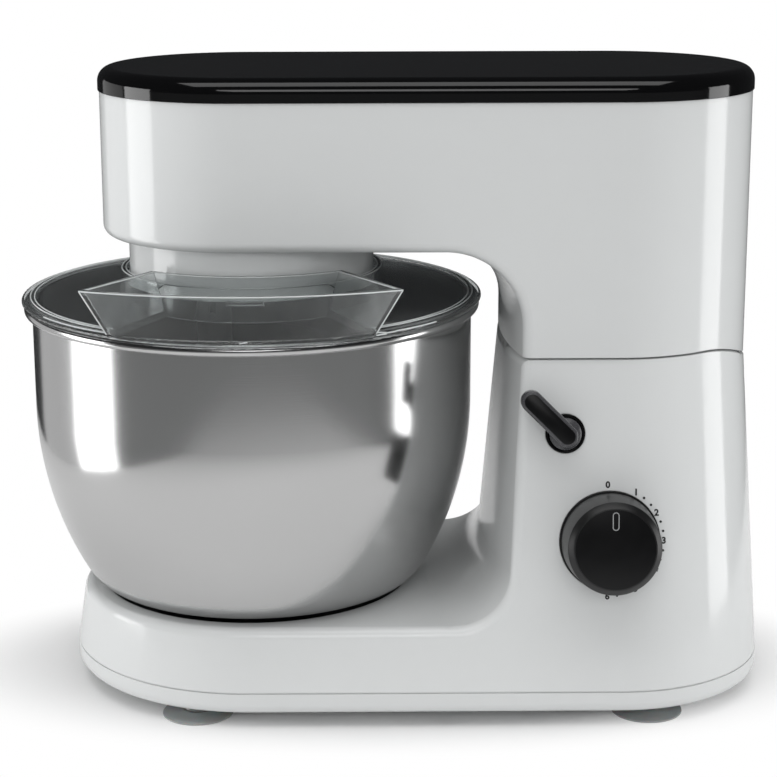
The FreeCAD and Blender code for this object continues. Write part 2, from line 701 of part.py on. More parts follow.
def base_housing():
    """White shell of base and column, open below."""
    block = leaning_block(SPLIT_Z, HEAD_SPLIT_Z, 0)
    space = column_space(0)
    outer = round_open_edges(block.cut(space), block, space, EDGE_R)
    outer = outer.common(below_split(HINGE_DROP - SPLIT_GAP / 2))
    inner = leaning_block(SPLIT_Z - WALL, HEAD_SPLIT_Z, WALL).cut(column_space(WALL))
    inner = inner.common(below_split(HINGE_DROP - SPLIT_GAP / 2 - WALL))
    shell = outer.cut(inner)
    core = leaning_block(SPLIT_Z, HEAD_SPLIT_Z, WALL / 2).cut(column_space(WALL / 2))
    boss_top = SPLIT_Z + BASE_SCREW_LEN + LONG_GRIP
    bosses = [cyl(BOSS_R, SPLIT_Z, boss_top, x, y).common(core) for x, y in BASE_SCREWS]
    shell = fuse([shell] + bosses)
    openings = [cyl(RECESS_R, DECK_Z - 2 * WALL, DECK_Z + WALL)]
    openings += [cyl(SCREW_R + FIT, SPLIT_Z, SPLIT_Z + BASE_SCREW_LEN, x, y) for x, y in BASE_SCREWS]
    openings += [cyl(SCREW_R + FIT, YOKE_Z, COLUMN_TOP_Z - WALL + SHORT_GRIP, x, y) for x, y in YOKE_SCREWS]
    wedge = [(HINGE_X, HINGE_Z)]
    for degrees in (ARM_REAR_ANGLE - TILT_MAX, ARM_REAR_ANGLE, ARM_FRONT_ANGLE):
        tip = turn_xz(HINGE_X, HINGE_Z, 2 * HINGE_DROP, degrees)
        wedge.append((tip.x, tip.z))
    slot = plate_xz(wedge, HINGE_ARM_Y - SLOT_PLAY, ARM_OUTER_Y + SLOT_PLAY)
    openings += [slot, mirrored(slot)]
    half = CATCH_W / 2 + SLOT_PLAY
    openings.append(box(CATCH_X - 2 * SLOT_PLAY, CATCH_X + CATCH_FOOT, CATCH_Y - half, CATCH_Y + half,
                        COLUMN_TOP_Z - 2 * WALL, COLUMN_TOP_Z + WALL))
    openings.append(on_wall(cyl(BEZEL_R + FIT, -3 * WALL, 3 * WALL), KNOB_X, KNOB_Z))
    openings.append(on_wall(cyl(LEVER_BEZEL_R + FIT, -3 * WALL, 3 * WALL), LEVER_X, LEVER_Z))
    openings.append(back_wall(-WALL, 2 * WALL, PANEL_HALF, SPLIT_Z, PANEL_TOP_Z))
    return cut(shell, openings)


def rear_panel():
    """Panel in the back wall that carries the cord gland, with a plate behind its edges."""
    deep = WALL + FIT + PANEL_BACK
    front = back_wall(0, deep, PANEL_HALF - FIT, SPLIT_Z, PANEL_TOP_Z - FIT)
    plate = back_wall(WALL + FIT, deep, PANEL_HALF + PANEL_LAP, SPLIT_Z, PANEL_TOP_Z + PANEL_LAP)
    hole = Part.makeCylinder(GLAND_R + FIT, FAR / 10, V(GLAND_X - FAR / 20, 0, GLAND_Z), X_AXIS)
    return fuse([front, plate]).cut(hole)


def cord_gland():
    """Flanged bush for the cord in the back panel."""
    end = GLAND_X + FIT
    start = V(end - GLAND_LEN, 0, GLAND_Z)
    body = Part.makeCylinder(GLAND_R, GLAND_LEN, start, X_AXIS)
    flange_x = GLAND_X - WALL - PANEL_BACK - GLAND_FLANGE - 3 * REST_GAP
    flange = Part.makeCylinder(GLAND_R + GLAND_FLANGE, GLAND_FLANGE, V(flange_x, 0, GLAND_Z), X_AXIS)
    return fuse([body, flange]).cut(Part.makeCylinder(GLAND_R / 2, GLAND_LEN, start, X_AXIS))


def base_plate():
    """Tray under the base, with posts for the screws and the bowl's seat."""
    plan = Part.Face(base_plan(SPLIT_Z, 0))
    plan.translate(V(0, 0, BASE_BOTTOM_Z - SPLIT_Z))
    outer = plan.extrude(V(0, 0, SPLIT_Z - BASE_BOTTOM_Z))
    rim = [e for e in outer.Edges if e.BoundBox.ZMax < BASE_BOTTOM_Z + 0.01]
    outer = outer.makeFillet(PLATE_EDGE_R, rim)
    inner = Part.Face(base_plan(SPLIT_Z, WALL))
    inner.translate(V(0, 0, BASE_BOTTOM_Z + WALL - SPLIT_Z))
    tray = outer.cut(inner.extrude(V(0, 0, SPLIT_Z)))
    whole = Part.Face(base_plan(SPLIT_Z, 0)).extrude(V(0, 0, -SEAM))
    groove = whole.cut(Part.Face(base_plan(SPLIT_Z, SEAM)).extrude(V(0, 0, -SEAM)))
    head_z = BASE_BOTTOM_Z + WALL
    posts = [cyl(POST_FOOT_R, head_z, SPLIT_Z, x, y) for x, y in BASE_SCREWS]
    posts += [cyl(BOSS_R, head_z, SEAT_FLOOR_Z - WALL, x, y) for x, y in SEAT_SCREWS]
    tray = fuse([tray.cut(groove)] + posts)
    holes = [cyl(SCREW_R + FIT, BASE_BOTTOM_Z, SPLIT_Z, x, y) for x, y in BASE_SCREWS]
    holes += [cyl(SCREW_HEAD_R + FIT, BASE_BOTTOM_Z, head_z, x, y) for x, y in BASE_SCREWS]
    holes += [cyl(STUD_R + FIT, BASE_BOTTOM_Z, head_z, x, y) for x, y in FEET]
    grip_z = SEAT_FLOOR_Z - WALL - LONG_GRIP
    holes += [cyl(SCREW_R + FIT, grip_z, SEAT_FLOOR_Z, x, y) for x, y in SEAT_SCREWS]
    return cut(tray, holes)


def bowl_seat():
    """Cup under the deck that takes the bowl's foot, with tabs over the bowl's lugs."""
    deck_under = DECK_Z - WALL - FIT
    low = SEAT_FLOOR_Z - WALL
    cup = cyl(RECESS_R + WALL, low, deck_under).cut(cyl(RECESS_R, SEAT_FLOOR_Z, deck_under))
    flange = ring(RECESS_R + 2 * WALL, RECESS_R, deck_under - WALL, deck_under)
    pitch = 360 / LUG_COUNT
    tabs = [sector(RECESS_R + WALL / 2, FOOT_RING_R + LUG_REACH / 2, TAB_Z, TAB_Z + TAB_H,
                   pitch * i - LUG_SPAN_ANGLE / 2, LUG_SPAN_ANGLE) for i in range(LUG_COUNT)]
    seat = fuse([cup, flange] + tabs)
    return cut(seat, [cyl(SCREW_R + FIT, low, SEAT_FLOOR_Z, x, y) for x, y in SEAT_SCREWS])


def suction_foot(x, y):
    """Soft disc foot with a hollow underside and a socket for its stud."""
    hollow = 0.8 * FOOT_R
    socket = STUD_R + FIT
    neck = STUD_R + FOOT_LIP
    top = FOOT_LIP + 2 * FOOT_RIM
    points = [V(0, 0, FOOT_HOLLOW), V(hollow - FOOT_HOLLOW, 0, FOOT_HOLLOW), V(hollow, 0, 0),
              V(FOOT_R, 0, 0), V(FOOT_R, 0, FOOT_RIM), V(neck, 0, top), V(socket, 0, top),
              V(socket, 0, FOOT_LIP), V(0, 0, FOOT_LIP)]
    foot = lathe(Part.Face(Part.makePolygon(points + points[:1])))
    foot.translate(V(x, y, 0))
    return foot


def hinge_yoke():
    """Steel yoke under the column's top: a plate and two cheeks that hold the hinge pin."""
    top = COLUMN_TOP_Z - WALL
    plate = box(YOKE_X[0], YOKE_X[1], -CHEEK_OUTER_Y, CHEEK_OUTER_Y, YOKE_Z, top)
    side = [(YOKE_X[0], top), (YOKE_X[1], top), (HINGE_X + HINGE_EYE_R * 0.6, HINGE_Z + HINGE_EYE_R * 0.8),
            (HINGE_X - HINGE_EYE_R * 0.6, HINGE_Z - HINGE_EYE_R * 0.8)]
    cheek = fuse([plate_xz(side, CHEEK_Y, CHEEK_OUTER_Y),
                  rod_y(HINGE_EYE_R, CHEEK_Y, CHEEK_OUTER_Y, HINGE_X, HINGE_Z)])
    yoke = fuse([plate, cheek, mirrored(cheek)])
    holes = [rod_y(HINGE_PIN_R + FIT, -FAR / 4, FAR / 4, HINGE_X, HINGE_Z)]
    holes += [cyl(SCREW_R + FIT, YOKE_Z, top, x, y) for x, y in YOKE_SCREWS]
    return cut(yoke, holes)


def knob_bezel():
    """Round dish in the wall behind the speed knob."""
    dish = ring(BEZEL_R, KNOB_SHAFT_R + FIT, -BEZEL_DEPTH, BEZEL_PROUD)
    return on_wall(dish, KNOB_X, KNOB_Z)


def speed_switch():
    """Rotary switch body behind the bezel."""
    body = ring(SWITCH_R, KNOB_SHAFT_R + FIT, -SWITCH_BACK, -BEZEL_DEPTH)
    return on_wall(body, KNOB_X, KNOB_Z)


def control_board():
    """Circuit board on the back of the switch."""
    board = box(-BOARD_W / 2, BOARD_W / 2, -BOARD_H / 2, BOARD_H / 2, -SWITCH_BACK - BOARD_T, -SWITCH_BACK)
    return on_wall(board, KNOB_X, KNOB_Z)


def speed_knob():
    """Tapered knob with a pointer groove in its face."""
    shoulder = KNOB_FACE_R + KNOB_CHAMFER
    points = [V(0, 0, KNOB_GAP), V(KNOB_BASE_R, 0, KNOB_GAP), V(KNOB_BASE_R, 0, KNOB_GAP + KNOB_RIM),
              V(shoulder, 0, KNOB_TOP - KNOB_CHAMFER), V(KNOB_FACE_R, 0, KNOB_TOP), V(0, 0, KNOB_TOP)]
    body = lathe(Part.Face(Part.makePolygon(points + points[:1])))
    groove = box(-POINTER_W / 2, POINTER_W / 2, 0.4 * KNOB_FACE_R, 0.88 * KNOB_FACE_R,
                 KNOB_TOP - POINTER_DEPTH, KNOB_TOP)
    bore = cyl(KNOB_SHAFT_R + FIT, KNOB_GAP, KNOB_TOP - KNOB_CAP)
    return on_wall(cut(body, [groove, bore]), KNOB_X, KNOB_Z)


def knob_shaft():
    """Spindle from the switch into the knob."""
    return on_wall(cyl(KNOB_SHAFT_R, REST_GAP - SWITCH_BACK, KNOB_TOP - KNOB_CAP - REST_GAP), KNOB_X, KNOB_Z)


def lever_bezel():
    """Flanged bush that carries the release lever's shaft."""
    bush = fuse([cyl(LEVER_BEZEL_R, -WALL, BEZEL_PROUD), cyl(LEVER_SHAFT_R + BUSH_T, -LEVER_BUSH, 0)])
    return on_wall(bush.cut(cyl(LEVER_SHAFT_R + FIT, -LEVER_BUSH, BEZEL_PROUD)), LEVER_X, LEVER_Z)


def release_lever():
    """Round-ended lever on a boss."""
    half = LEVER_W / 2
    low = LEVER_STAND
    top = LEVER_STAND + LEVER_H
    web = box(0, LEVER_LEN, -half, half, low, top)
    bar = fuse([cyl(half, low, top), cyl(half, low, top, LEVER_LEN), web])
    bar.rotate(V(0, 0, 0), Z_AXIS, LEVER_ANGLE)
    boss = cyl(LEVER_SHAFT_R + BUSH_T, BEZEL_PROUD + REST_GAP, low)
    body = fuse([bar, boss]).cut(cyl(LEVER_SHAFT_R + FIT, 0, top - LEVER_CAP))
    return on_wall(body, LEVER_X, LEVER_Z)


def lever_shaft():
    """Shaft from the lever to the latch hook."""
    end = LEVER_STAND + LEVER_H - LEVER_CAP - REST_GAP
    return on_wall(cyl(LEVER_SHAFT_R, -HOOK_DEPTH - HOOK_T, end), LEVER_X, LEVER_Z)


def latch_hook():
    """Hook plate on the lever's shaft, its nose over the head's catch."""
    low = -HOOK_DEPTH - HOOK_T
    high = -HOOK_DEPTH
    nose_x = CATCH_X + CATCH_T + CATCH_REACH + LATCH_GAP - LEVER_X
    end_x = nose_x + 1.5 * HOOK_W
    arm = box(end_x - HOOK_W, end_x, 0, HOOK_H, low, high)
    nose = box(nose_x, end_x, HOOK_H - HOOK_NOSE_H, HOOK_H, low, high)
    hub = cyl(2 * LEVER_SHAFT_R, low, high)
    hook = fuse([hub, arm, nose]).cut(cyl(LEVER_SHAFT_R + FIT, low, high))
    return on_wall(hook, LEVER_X, LEVER_Z)


def latch_spring():
    """Coil about the lever's shaft that turns the lever back."""
    reach = HOOK_DEPTH - LEVER_BUSH - 2 * REST_GAP - 2 * SPRING_WIRE_R
    radius = LEVER_SHAFT_R + REST_GAP + SPRING_WIRE_R
    steps = SPRING_TURNS * SPRING_SECTIONS
    wire = Part.Wire(Part.Circle(V(radius, 0, 0), Y_AXIS, SPRING_WIRE_R).toShape())
    sections = []
    for step in range(steps + 1):
        section = wire.copy()
        section.rotate(V(0, 0, 0), Z_AXIS, 360 * step / SPRING_SECTIONS)
        section.translate(V(0, 0, reach * step / steps))
        sections.append(section)
    coil = Part.makeLoft(sections, True, True)
    coil.translate(V(0, 0, REST_GAP + SPRING_WIRE_R - HOOK_DEPTH))
    return on_wall(coil, LEVER_X, LEVER_Z)


def bowl_profile(inset, top):
    """Half section of the bowl's outer or inner form, up to a height."""
    floor = BOWL_BOTTOM_Z + inset
    arc_x = BOWL_R - BOWL_ARC_R
    edges = [
        line(V(0, 0, floor), V(HEEL_CENTRE_R, 0, floor)),
        arc_xz(HEEL_CENTRE_R, HEEL_CENTRE_Z, BOWL_HEEL_R - inset, -90, -BOWL_HEEL_ANGLE),
        arc_xz(arc_x, BOWL_ARC_TOP_Z, BOWL_ARC_R - inset, -BOWL_HEEL_ANGLE, 0),
        line(V(BOWL_R - inset, 0, BOWL_ARC_TOP_Z), V(BOWL_R - inset, 0, top)),
        line(V(BOWL_R - inset, 0, top), V(0, 0, top)),
    ]
    return chain(edges)


def bowl():
    """Spun steel bowl with a rolled rim."""
    top = BOWL_RIM_Z - BOWL_BEAD_R
    wall = lathe(bowl_profile(0, top)).cut(lathe(bowl_profile(BOWL_T, top + BOWL_T)))
    bead = Part.makeTorus(BOWL_R + BOWL_BEAD_R - BOWL_T, BOWL_BEAD_R, V(0, 0, top))
    return fuse([wall, bead])


def bowl_foot_ring():
    """Ring welded under the bowl, with bayonet lugs."""
    body = ring(FOOT_RING_R, FOOT_RING_R - FOOT_RING_T, FOOT_RING_Z, BOWL_BOTTOM_Z)
    pitch = 360 / LUG_COUNT
    span = 0.8 * LUG_SPAN_ANGLE
    inner = FOOT_RING_R - FOOT_RING_T / 2
    outer = FOOT_RING_R + LUG_REACH
    lugs = [sector(outer, inner, LUG_Z, LUG_Z + LUG_H, pitch * i - span / 2, span) for i in range(LUG_COUNT)]
    return fuse([body] + lugs)


def chute_outline(top, inset, z):
    """Outline of the pouring chute at its top or at the guard's plate."""
    front = CHUTE_TOP_HALF if top else CHUTE_LOW_HALF
    back = CHUTE_BACK_TOP_HALF if top else CHUTE_BACK_LOW_HALF
    rim = LID_R - CHUTE_SETBACK
    side_y = CHUTE_TOP_SIDE_Y if top else math.sqrt(rim ** 2 - CHUTE_LOW_HALF ** 2)
    mid_y = CHUTE_TOP_MID_Y if top else rim
    front -= 1.2 * inset
    side_y -= inset
    mid_y -= inset
    back -= 0.6 * inset
    back_y = CHUTE_BACK_Y + 1.2 * inset
    back_mid = COLLAR_R + inset
    edges = [
        arc(V(-front, -side_y, z), V(0, -mid_y, z), V(front, -side_y, z)),
        line(V(front, -side_y, z), V(back, -back_y, z)),
        arc(V(back, -back_y, z), V(0, -back_mid, z), V(-back, -back_y, z)),
        line(V(-back, -back_y, z), V(-front, -side_y, z)),
    ]
    return Part.Wire(edges)


def splash_guard():
    """Clear guard over the bowl: round plate, collar about the hub, pouring chute."""
    top = LID_Z + CHUTE_H
    plate = cyl(LID_R, LID_Z, LID_TOP_Z)
    rim = [e for e in plate.Edges if e.BoundBox.DiagonalLength > LID_R]
    plate = plate.makeFillet(LID_T * 0.45, rim)
    lip = ring(LID_LIP_R, LID_LIP_R - LID_WALL, LID_Z - LID_LIP_H, LID_TOP_Z)
    bead = LID_R - LID_BEAD_INSET
    bead = ring(bead, bead - LID_BEAD_W, LID_Z + LID_T / 2, LID_TOP_Z + LID_BEAD_H)
    collar = cyl(COLLAR_R + LID_WALL, LID_Z, LID_Z + COLLAR_H)
    outer = Part.makeLoft([chute_outline(False, 0, LID_Z), chute_outline(True, 0, top)], True, True)
    inner_low = chute_outline(False, LID_WALL, LID_Z)
    inner_top = chute_outline(True, LID_WALL, top)
    inner = Part.makeLoft([inner_low, inner_top], True, True)
    throat = Part.Face(inner_low).extrude(V(0, 0, -2 * LID_LIP_H))
    guard = fuse([plate, lip, bead, collar, outer])
    guard = cut(guard, [inner, throat, cyl(COLLAR_R, LID_Z - WALL, top + WALL)])
    tab_z = LID_Z + COLLAR_H / 2
    tab_out = COLLAR_R + LID_WALL / 2
    start = GUARD_TAB_TURN_ANGLE - GUARD_TAB_ANGLE / 2
    tabs = [sector(tab_out, HUB_R + REST_GAP, tab_z, tab_z + LID_WALL, start + 360 * i / GUARD_TABS,
                   GUARD_TAB_ANGLE) for i in range(GUARD_TABS)]
    return fuse([guard] + tabs)


def head_housing():
    """White shell of arm and rear block, open at the top."""
    low = HINGE_Z
    block = stadium(HEAD_FRONT, HEAD_REAR, HEAD_HALF, low, HEAD_TOP_Z)
    space = arm_space(0)
    outer = round_open_edges(block.cut(space), block, space, EDGE_R)
    outer = outer.cut(below_split(HINGE_DROP + SPLIT_GAP / 2))
    inner = stadium(HEAD_FRONT - WALL, HEAD_REAR - WALL, HEAD_HALF - WALL, low, HEAD_TOP_Z + WALL)
    inner = inner.cut(arm_space(WALL)).cut(below_split(HINGE_DROP + SPLIT_GAP / 2 + WALL))
    shell = outer.cut(inner)
    bush = MAIN_SHAFT_R + FIT + BUSH_T
    openings = [cyl(bush + FIT, HEAD_BOTTOM_Z - WALL, ARM_FLOOR_Z + WALL)]
    under = HEAD_FLOOR_Z - 2 * WALL
    slot = box(ARM_ROOT[0] - SLOT_PLAY, ARM_ROOT[1] + CHEEK_T, HINGE_ARM_Y - SLOT_PLAY,
               ARM_OUTER_Y + SLOT_PLAY, under, HEAD_FLOOR_Z + WALL)
    openings += [slot, mirrored(slot)]
    half = CATCH_W / 2 + FIT
    openings.append(box(CATCH_X - FIT, CATCH_X + CATCH_T + FIT, CATCH_Y - half, CATCH_Y + half,
                        under, HEAD_FLOOR_Z + WALL))
    openings += [cyl(SCREW_R + FIT, HEAD_FLOOR_Z - SHORT_GRIP, HEAD_FLOOR_Z, x, y) for x, y in HINGE_SCREWS]
    return cut(shell, openings)


def head_cover():
    """Black top cover with a rounded edge and a lip inside the head."""
    ledge = COVER_LEDGE
    top = HEAD_TOP_Z + COVER_H
    outer = stadium(HEAD_FRONT + ledge, HEAD_REAR + ledge, HEAD_HALF + ledge, HEAD_TOP_Z, top)
    rim = [e for e in outer.Edges if e.BoundBox.ZMin > top - 0.01]
    outer = outer.makeFillet(COVER_R, rim)
    lip_z = HEAD_TOP_Z - 2 * WALL
    under = WALL + FIT
    lip = stadium(HEAD_FRONT - under, HEAD_REAR - under, HEAD_HALF - under, lip_z, HEAD_TOP_Z)
    under += COVER_LIP_T
    inner = stadium(HEAD_FRONT - under, HEAD_REAR - under, HEAD_HALF - under, lip_z, top - WALL)
    return fuse([outer, lip]).cut(inner)


def hub_collar():
    """Round white skirt under the arm, with a web that carries the ring gear."""
    skirt = ring(HUB_R, HUB_R - HUB_WALL, HUB_Z, HEAD_BOTTOM_Z)
    web = cyl(HUB_R - HUB_WALL / 2, WEB_Z, HEAD_BOTTOM_Z)
    return fuse([skirt, web]).cut(cyl(MAIN_SHAFT_R + 2 * FIT + BUSH_T, WEB_Z, HEAD_BOTTOM_Z))


def gearbox_plates():
    """Lower and upper plate that carry the gear shafts."""
    top = GEARBOX_TOP_Z + GEARBOX_TOP_PLATE
    tail = FIRST_X + GEARBOX_TAIL
    low_top = GEARBOX_Z + GEARBOX_PLATE
    low = rounded_plate(-GEARBOX_FRONT, tail, GEARBOX_HALF, GEARBOX_CORNER, GEARBOX_Z, low_top)
    high = rounded_plate(-GEARBOX_FRONT, tail, GEARBOX_HALF, GEARBOX_CORNER, GEARBOX_TOP_Z, top)
    bores = [(0.0, MAIN_SHAFT_R), (SECOND_X, SECOND_SHAFT_R), (FIRST_X, FIRST_SHAFT_R)]
    holes = [cyl(r + 2 * FIT + BUSH_T, GEARBOX_Z, top, x) for x, r in bores]
    bolts = [cyl(SCREW_R + FIT, GEARBOX_TOP_Z, top, x, y) for x, y in PILLARS]
    return cut(low, holes), cut(high, holes + bolts)


def gearbox_pillars():
    """Spacers between the gearbox plates."""
    low = GEARBOX_Z + GEARBOX_PLATE
    return [ring(PILLAR_R, SCREW_R + FIT, low, GEARBOX_TOP_Z, x, y) for x, y in PILLARS]


def shaft_bushes():
    """Plain bearings of the three gear shafts."""
    top = GEARBOX_TOP_Z + GEARBOX_TOP_PLATE
    floor_top = GEARBOX_Z + GEARBOX_PLATE
    spans = [(0.0, MAIN_SHAFT_R, WEB_Z, floor_top), (0.0, MAIN_SHAFT_R, GEARBOX_TOP_Z, top)]
    for x, r in ((SECOND_X, SECOND_SHAFT_R), (FIRST_X, FIRST_SHAFT_R)):
        spans.append((x, r, GEARBOX_Z, floor_top))
        spans.append((x, r, GEARBOX_TOP_Z, top))
    return [ring(r + FIT + BUSH_T, r + FIT, z0, z1, x) for x, r, z0, z1 in spans]


def planet_carrier():
    """Disc under the hub that swings the tool shaft round."""
    disc = cyl(CARRIER_R, CARRIER_Z, CARRIER_Z + CARRIER_H)
    return cut(disc, [cyl(MAIN_SHAFT_R + FIT, CARRIER_Z, CARRIER_Z + CARRIER_H),
                      cyl(TOOL_SHAFT_R + FIT, CARRIER_Z, CARRIER_Z + CARRIER_H, TOOL_X)])


def tool_shaft():
    """Shaft of the planet pinion, with a cross hole for the bayonet pin."""
    shaft = cyl(TOOL_SHAFT_R, HOOK_NECK_Z + WALL, PLANET_Z + PLANET_H, TOOL_X)
    return shaft.cut(rod_y(TOOL_PIN_R + FIT, -FAR / 10, FAR / 10, TOOL_X, HOOK_PIN_Z))


def dough_hook():
    """Hook with a socket that pushes up over the tool shaft and its pin."""
    bend_x = TOOL_X - HOOK_BEND_R
    bend_z = HOOK_NECK_Z - HOOK_STEM
    meeting = turn_xz(bend_x, bend_z, HOOK_BEND_R, -HOOK_TURN_ANGLE)
    bow = turn_xz(meeting.x, meeting.z, HOOK_BOW_R, -HOOK_TURN_ANGLE)
    start = V(TOOL_X, 0, HOOK_NECK_Z + WALL / 2)
    path = Part.Wire([
        line(start, V(TOOL_X, 0, bend_z)),
        arc_xz(bend_x, bend_z, HOOK_BEND_R, 0, -HOOK_TURN_ANGLE),
        arc_xz(bow.x, bow.z, HOOK_BOW_R, 180 - HOOK_TURN_ANGLE, HOOK_END_ANGLE),
    ])
    section = Part.Wire(Part.Circle(start, Z_AXIS, HOOK_ROD_R).toShape())
    rod = path.makePipeShell([section], True, True)
    tip = Part.makeSphere(HOOK_ROD_R, turn_xz(bow.x, bow.z, HOOK_BOW_R, HOOK_END_ANGLE))
    socket = cyl(HOOK_SOCKET_R, HOOK_NECK_Z, HOOK_TOP_Z, TOOL_X)
    bore = cyl(TOOL_SHAFT_R + FIT, HOOK_NECK_Z + WALL - REST_GAP, HOOK_TOP_Z, TOOL_X)
    half = TOOL_PIN_R + 2 * FIT
    slot = box(TOOL_X - half, TOOL_X + half, -FAR / 10, FAR / 10, HOOK_PIN_Z - half, HOOK_TOP_Z)
    return fuse([rod, tip, cut(socket, [bore, slot])])


def motor_stator():
    """Laminated field ring with slots for its coils and holes for the long bolts."""
    half = STATOR_ACROSS / 2
    top = STATOR_Z + STATOR_H
    body = cyl(STATOR_R, STATOR_Z, top).common(box(-STATOR_R, STATOR_R, -half, half, STATOR_Z, top))
    tools = [cyl(ROTOR_R + AIR_GAP, STATOR_Z, top)]
    tools += [coil_block(side, 0, 0) for side in (-1, 1)]
    tools += [cyl(SCREW_R + FIT, STATOR_Z, top, side * POST_OFF) for side in (-1, 1)]
    stator = cut(body, tools)
    stator.translate(V(MOTOR_X, 0, 0))
    return stator


def coil_block(side, inset, past):
    """Block of one field coil, or its slot."""
    near = ROTOR_R + AIR_GAP + COIL_WEB + inset
    far = near + COIL_T - 2 * inset
    y0, y1 = sorted((side * near, side * far))
    half = COIL_W / 2 - inset
    return box(-half, half, y0, y1, STATOR_Z - past, STATOR_Z + STATOR_H + past)


def field_coils():
    """Copper field coils in the stator's slots."""
    coils = [coil_block(side, FIT, COIL_PAST) for side in (-1, 1)]
    for coil in coils:
        coil.translate(V(MOTOR_X, 0, 0))
    return coils


def motor_bracket(z, post_z0, post_z1, arms):
    """Bearing bar of the motor with two posts against the stator."""
    end = POST_OFF + BRACKET_END
    parts = [box(-end, end, -BRACKET_HALF, BRACKET_HALF, z, z + BRACKET_T)]
    if arms:
        reach = COMMUTATOR_R + 1.3 * BRUSH_L
        parts.append(box(-BRUSH_BAR_HALF, BRUSH_BAR_HALF, -reach, reach, z, z + BRACKET_T))
    parts += [cyl(POST_R, post_z0, post_z1, side * POST_OFF) for side in (-1, 1)]
    tools = [cyl(ROTOR_SHAFT_R + FIT, z, z + BRACKET_T)]
    low = min(z, post_z0)
    tools += [cyl(SCREW_R + FIT, low, low + POST_H + BRACKET_T, side * POST_OFF) for side in (-1, 1)]
    bracket = cut(fuse(parts), tools)
    bracket.translate(V(MOTOR_X, 0, 0))
    return bracket


def brushes():
    """Carbon brushes against the commutator."""
    half = BRUSH_W / 2
    pair = []
    for side in (-1, 1):
        y0, y1 = sorted((side * (COMMUTATOR_R + REST_GAP), side * (COMMUTATOR_R + BRUSH_L)))
        pair.append(box(MOTOR_X - half, MOTOR_X + half, y0, y1, BRUSH_Z, BRUSH_Z + BRUSH_H))
    return pair


def brush_holders():
    """Sleeves on the lower bracket that guide the brushes."""
    room = BRUSH_W / 2 + FIT
    half = room + HOLDER_WALL
    near = COMMUTATOR_R + 2 * HOLDER_WALL
    back = COMMUTATOR_R + BRUSH_L + FIT
    top = BRUSH_Z + BRUSH_H + FIT
    pair = []
    for side in (-1, 1):
        y0, y1 = sorted((side * near, side * (back + HOLDER_WALL)))
        sleeve = box(MOTOR_X - half, MOTOR_X + half, y0, y1, MOTOR_Z + BRACKET_T, top + HOLDER_WALL)
        y0, y1 = sorted((side * near, side * back))
        pair.append(sleeve.cut(box(MOTOR_X - room, MOTOR_X + room, y0, y1, BRUSH_Z - FIT, top)))
    return pair


def rotor_core():
    """Slotted armature."""
    core = ring(ROTOR_R, ROTOR_SHAFT_R + FIT, STATOR_Z, STATOR_Z + STATOR_H)
    half = ROTOR_SLOT_W / 2
    slots = []
    for index in range(ROTOR_SLOTS):
        slot = box(ROTOR_R - ROTOR_SLOT_DEPTH, ROTOR_R + half, -half, half, STATOR_Z, STATOR_Z + STATOR_H)
        slot.rotate(V(0, 0, 0), Z_AXIS, 360 * index / ROTOR_SLOTS)
        slots.append(slot)
    core = cut(core, slots)
    core.translate(V(MOTOR_X, 0, 0))
    return core


def motor_fan():
    """Cooling fan: a hub with radial blades."""
    z = STATOR_Z + STATOR_H + FAN_RISE
    half = FAN_BLADE_T / 2
    blades = [cyl(FAN_R, z, z + FAN_BLADE_T)]
    for index in range(FAN_BLADES):
        blade = box(ROTOR_SHAFT_R, FAN_R, -half, half, z, z + FAN_H)
        blade.rotate(V(0, 0, 0), Z_AXIS, 360 * index / FAN_BLADES)
        blades.append(blade)
    fan = fuse([cyl(FAN_HUB_R, z, z + FAN_H)] + blades).cut(cyl(ROTOR_SHAFT_R + FIT, z, z + FAN_H))
    fan.translate(V(MOTOR_X, 0, 0))
    return fan


def hinge_arms():
    """Steel plate on the head's floor with two arms down to the hinge pin."""
    low = HEAD_FLOOR_Z
    top = MOTOR_Z
    plate = box(HINGE_PLATE_X[0], HINGE_PLATE_X[1], -HINGE_PLATE_HALF, HINGE_PLATE_HALF, low, top)
    side = [(ARM_ROOT[0], top), (ARM_ROOT[1], top),
            (HINGE_X + HINGE_EYE_R * 0.6, HINGE_Z + HINGE_EYE_R * 0.8),
            (HINGE_X - HINGE_EYE_R * 0.95, HINGE_Z - HINGE_EYE_R * 0.3)]
    arm = fuse([plate_xz(side, HINGE_ARM_Y, ARM_OUTER_Y),
                rod_y(HINGE_EYE_R, HINGE_ARM_Y, ARM_OUTER_Y, HINGE_X, HINGE_Z)])
    body = fuse([plate, arm, mirrored(arm)])
    bore = HINGE_PIN_R + 2 * FIT + BUSH_T * 0.6
    holes = [rod_y(bore, -FAR / 4, FAR / 4, HINGE_X, HINGE_Z)]
    holes += [cyl(SCREW_R + FIT, low, top, x, y) for x, y in HINGE_SCREWS]
    return cut(body, holes)


def hinge_bushes():
    """Bronze bushes of the hinge arms."""
    outer = HINGE_PIN_R + FIT + BUSH_T * 0.6
    bush = rod_y(outer, HINGE_ARM_Y, ARM_OUTER_Y, HINGE_X, HINGE_Z)
    bush = bush.cut(rod_y(HINGE_PIN_R + FIT, HINGE_ARM_Y, ARM_OUTER_Y, HINGE_X, HINGE_Z))
    return [bush, mirrored(bush)]


def latch_catch():
    """Blade that hangs from the head's floor, with a toe for the latch hook."""
    y0 = CATCH_Y - CATCH_W / 2
    y1 = CATCH_Y + CATCH_W / 2
    top = HEAD_FLOOR_Z + WALL
    blade = box(CATCH_X, CATCH_X + CATCH_T, y0, y1, CATCH_TOE_Z, top)
    toe = box(CATCH_X, CATCH_X + CATCH_T + CATCH_REACH, y0, y1, CATCH_TOE_Z, CATCH_TOE_Z + CATCH_T)
    foot = box(CATCH_X, CATCH_X + CATCH_FOOT, y0 - 2 * CATCH_W, y1, HEAD_FLOOR_Z, top)
    return fuse([blade, toe, foot])


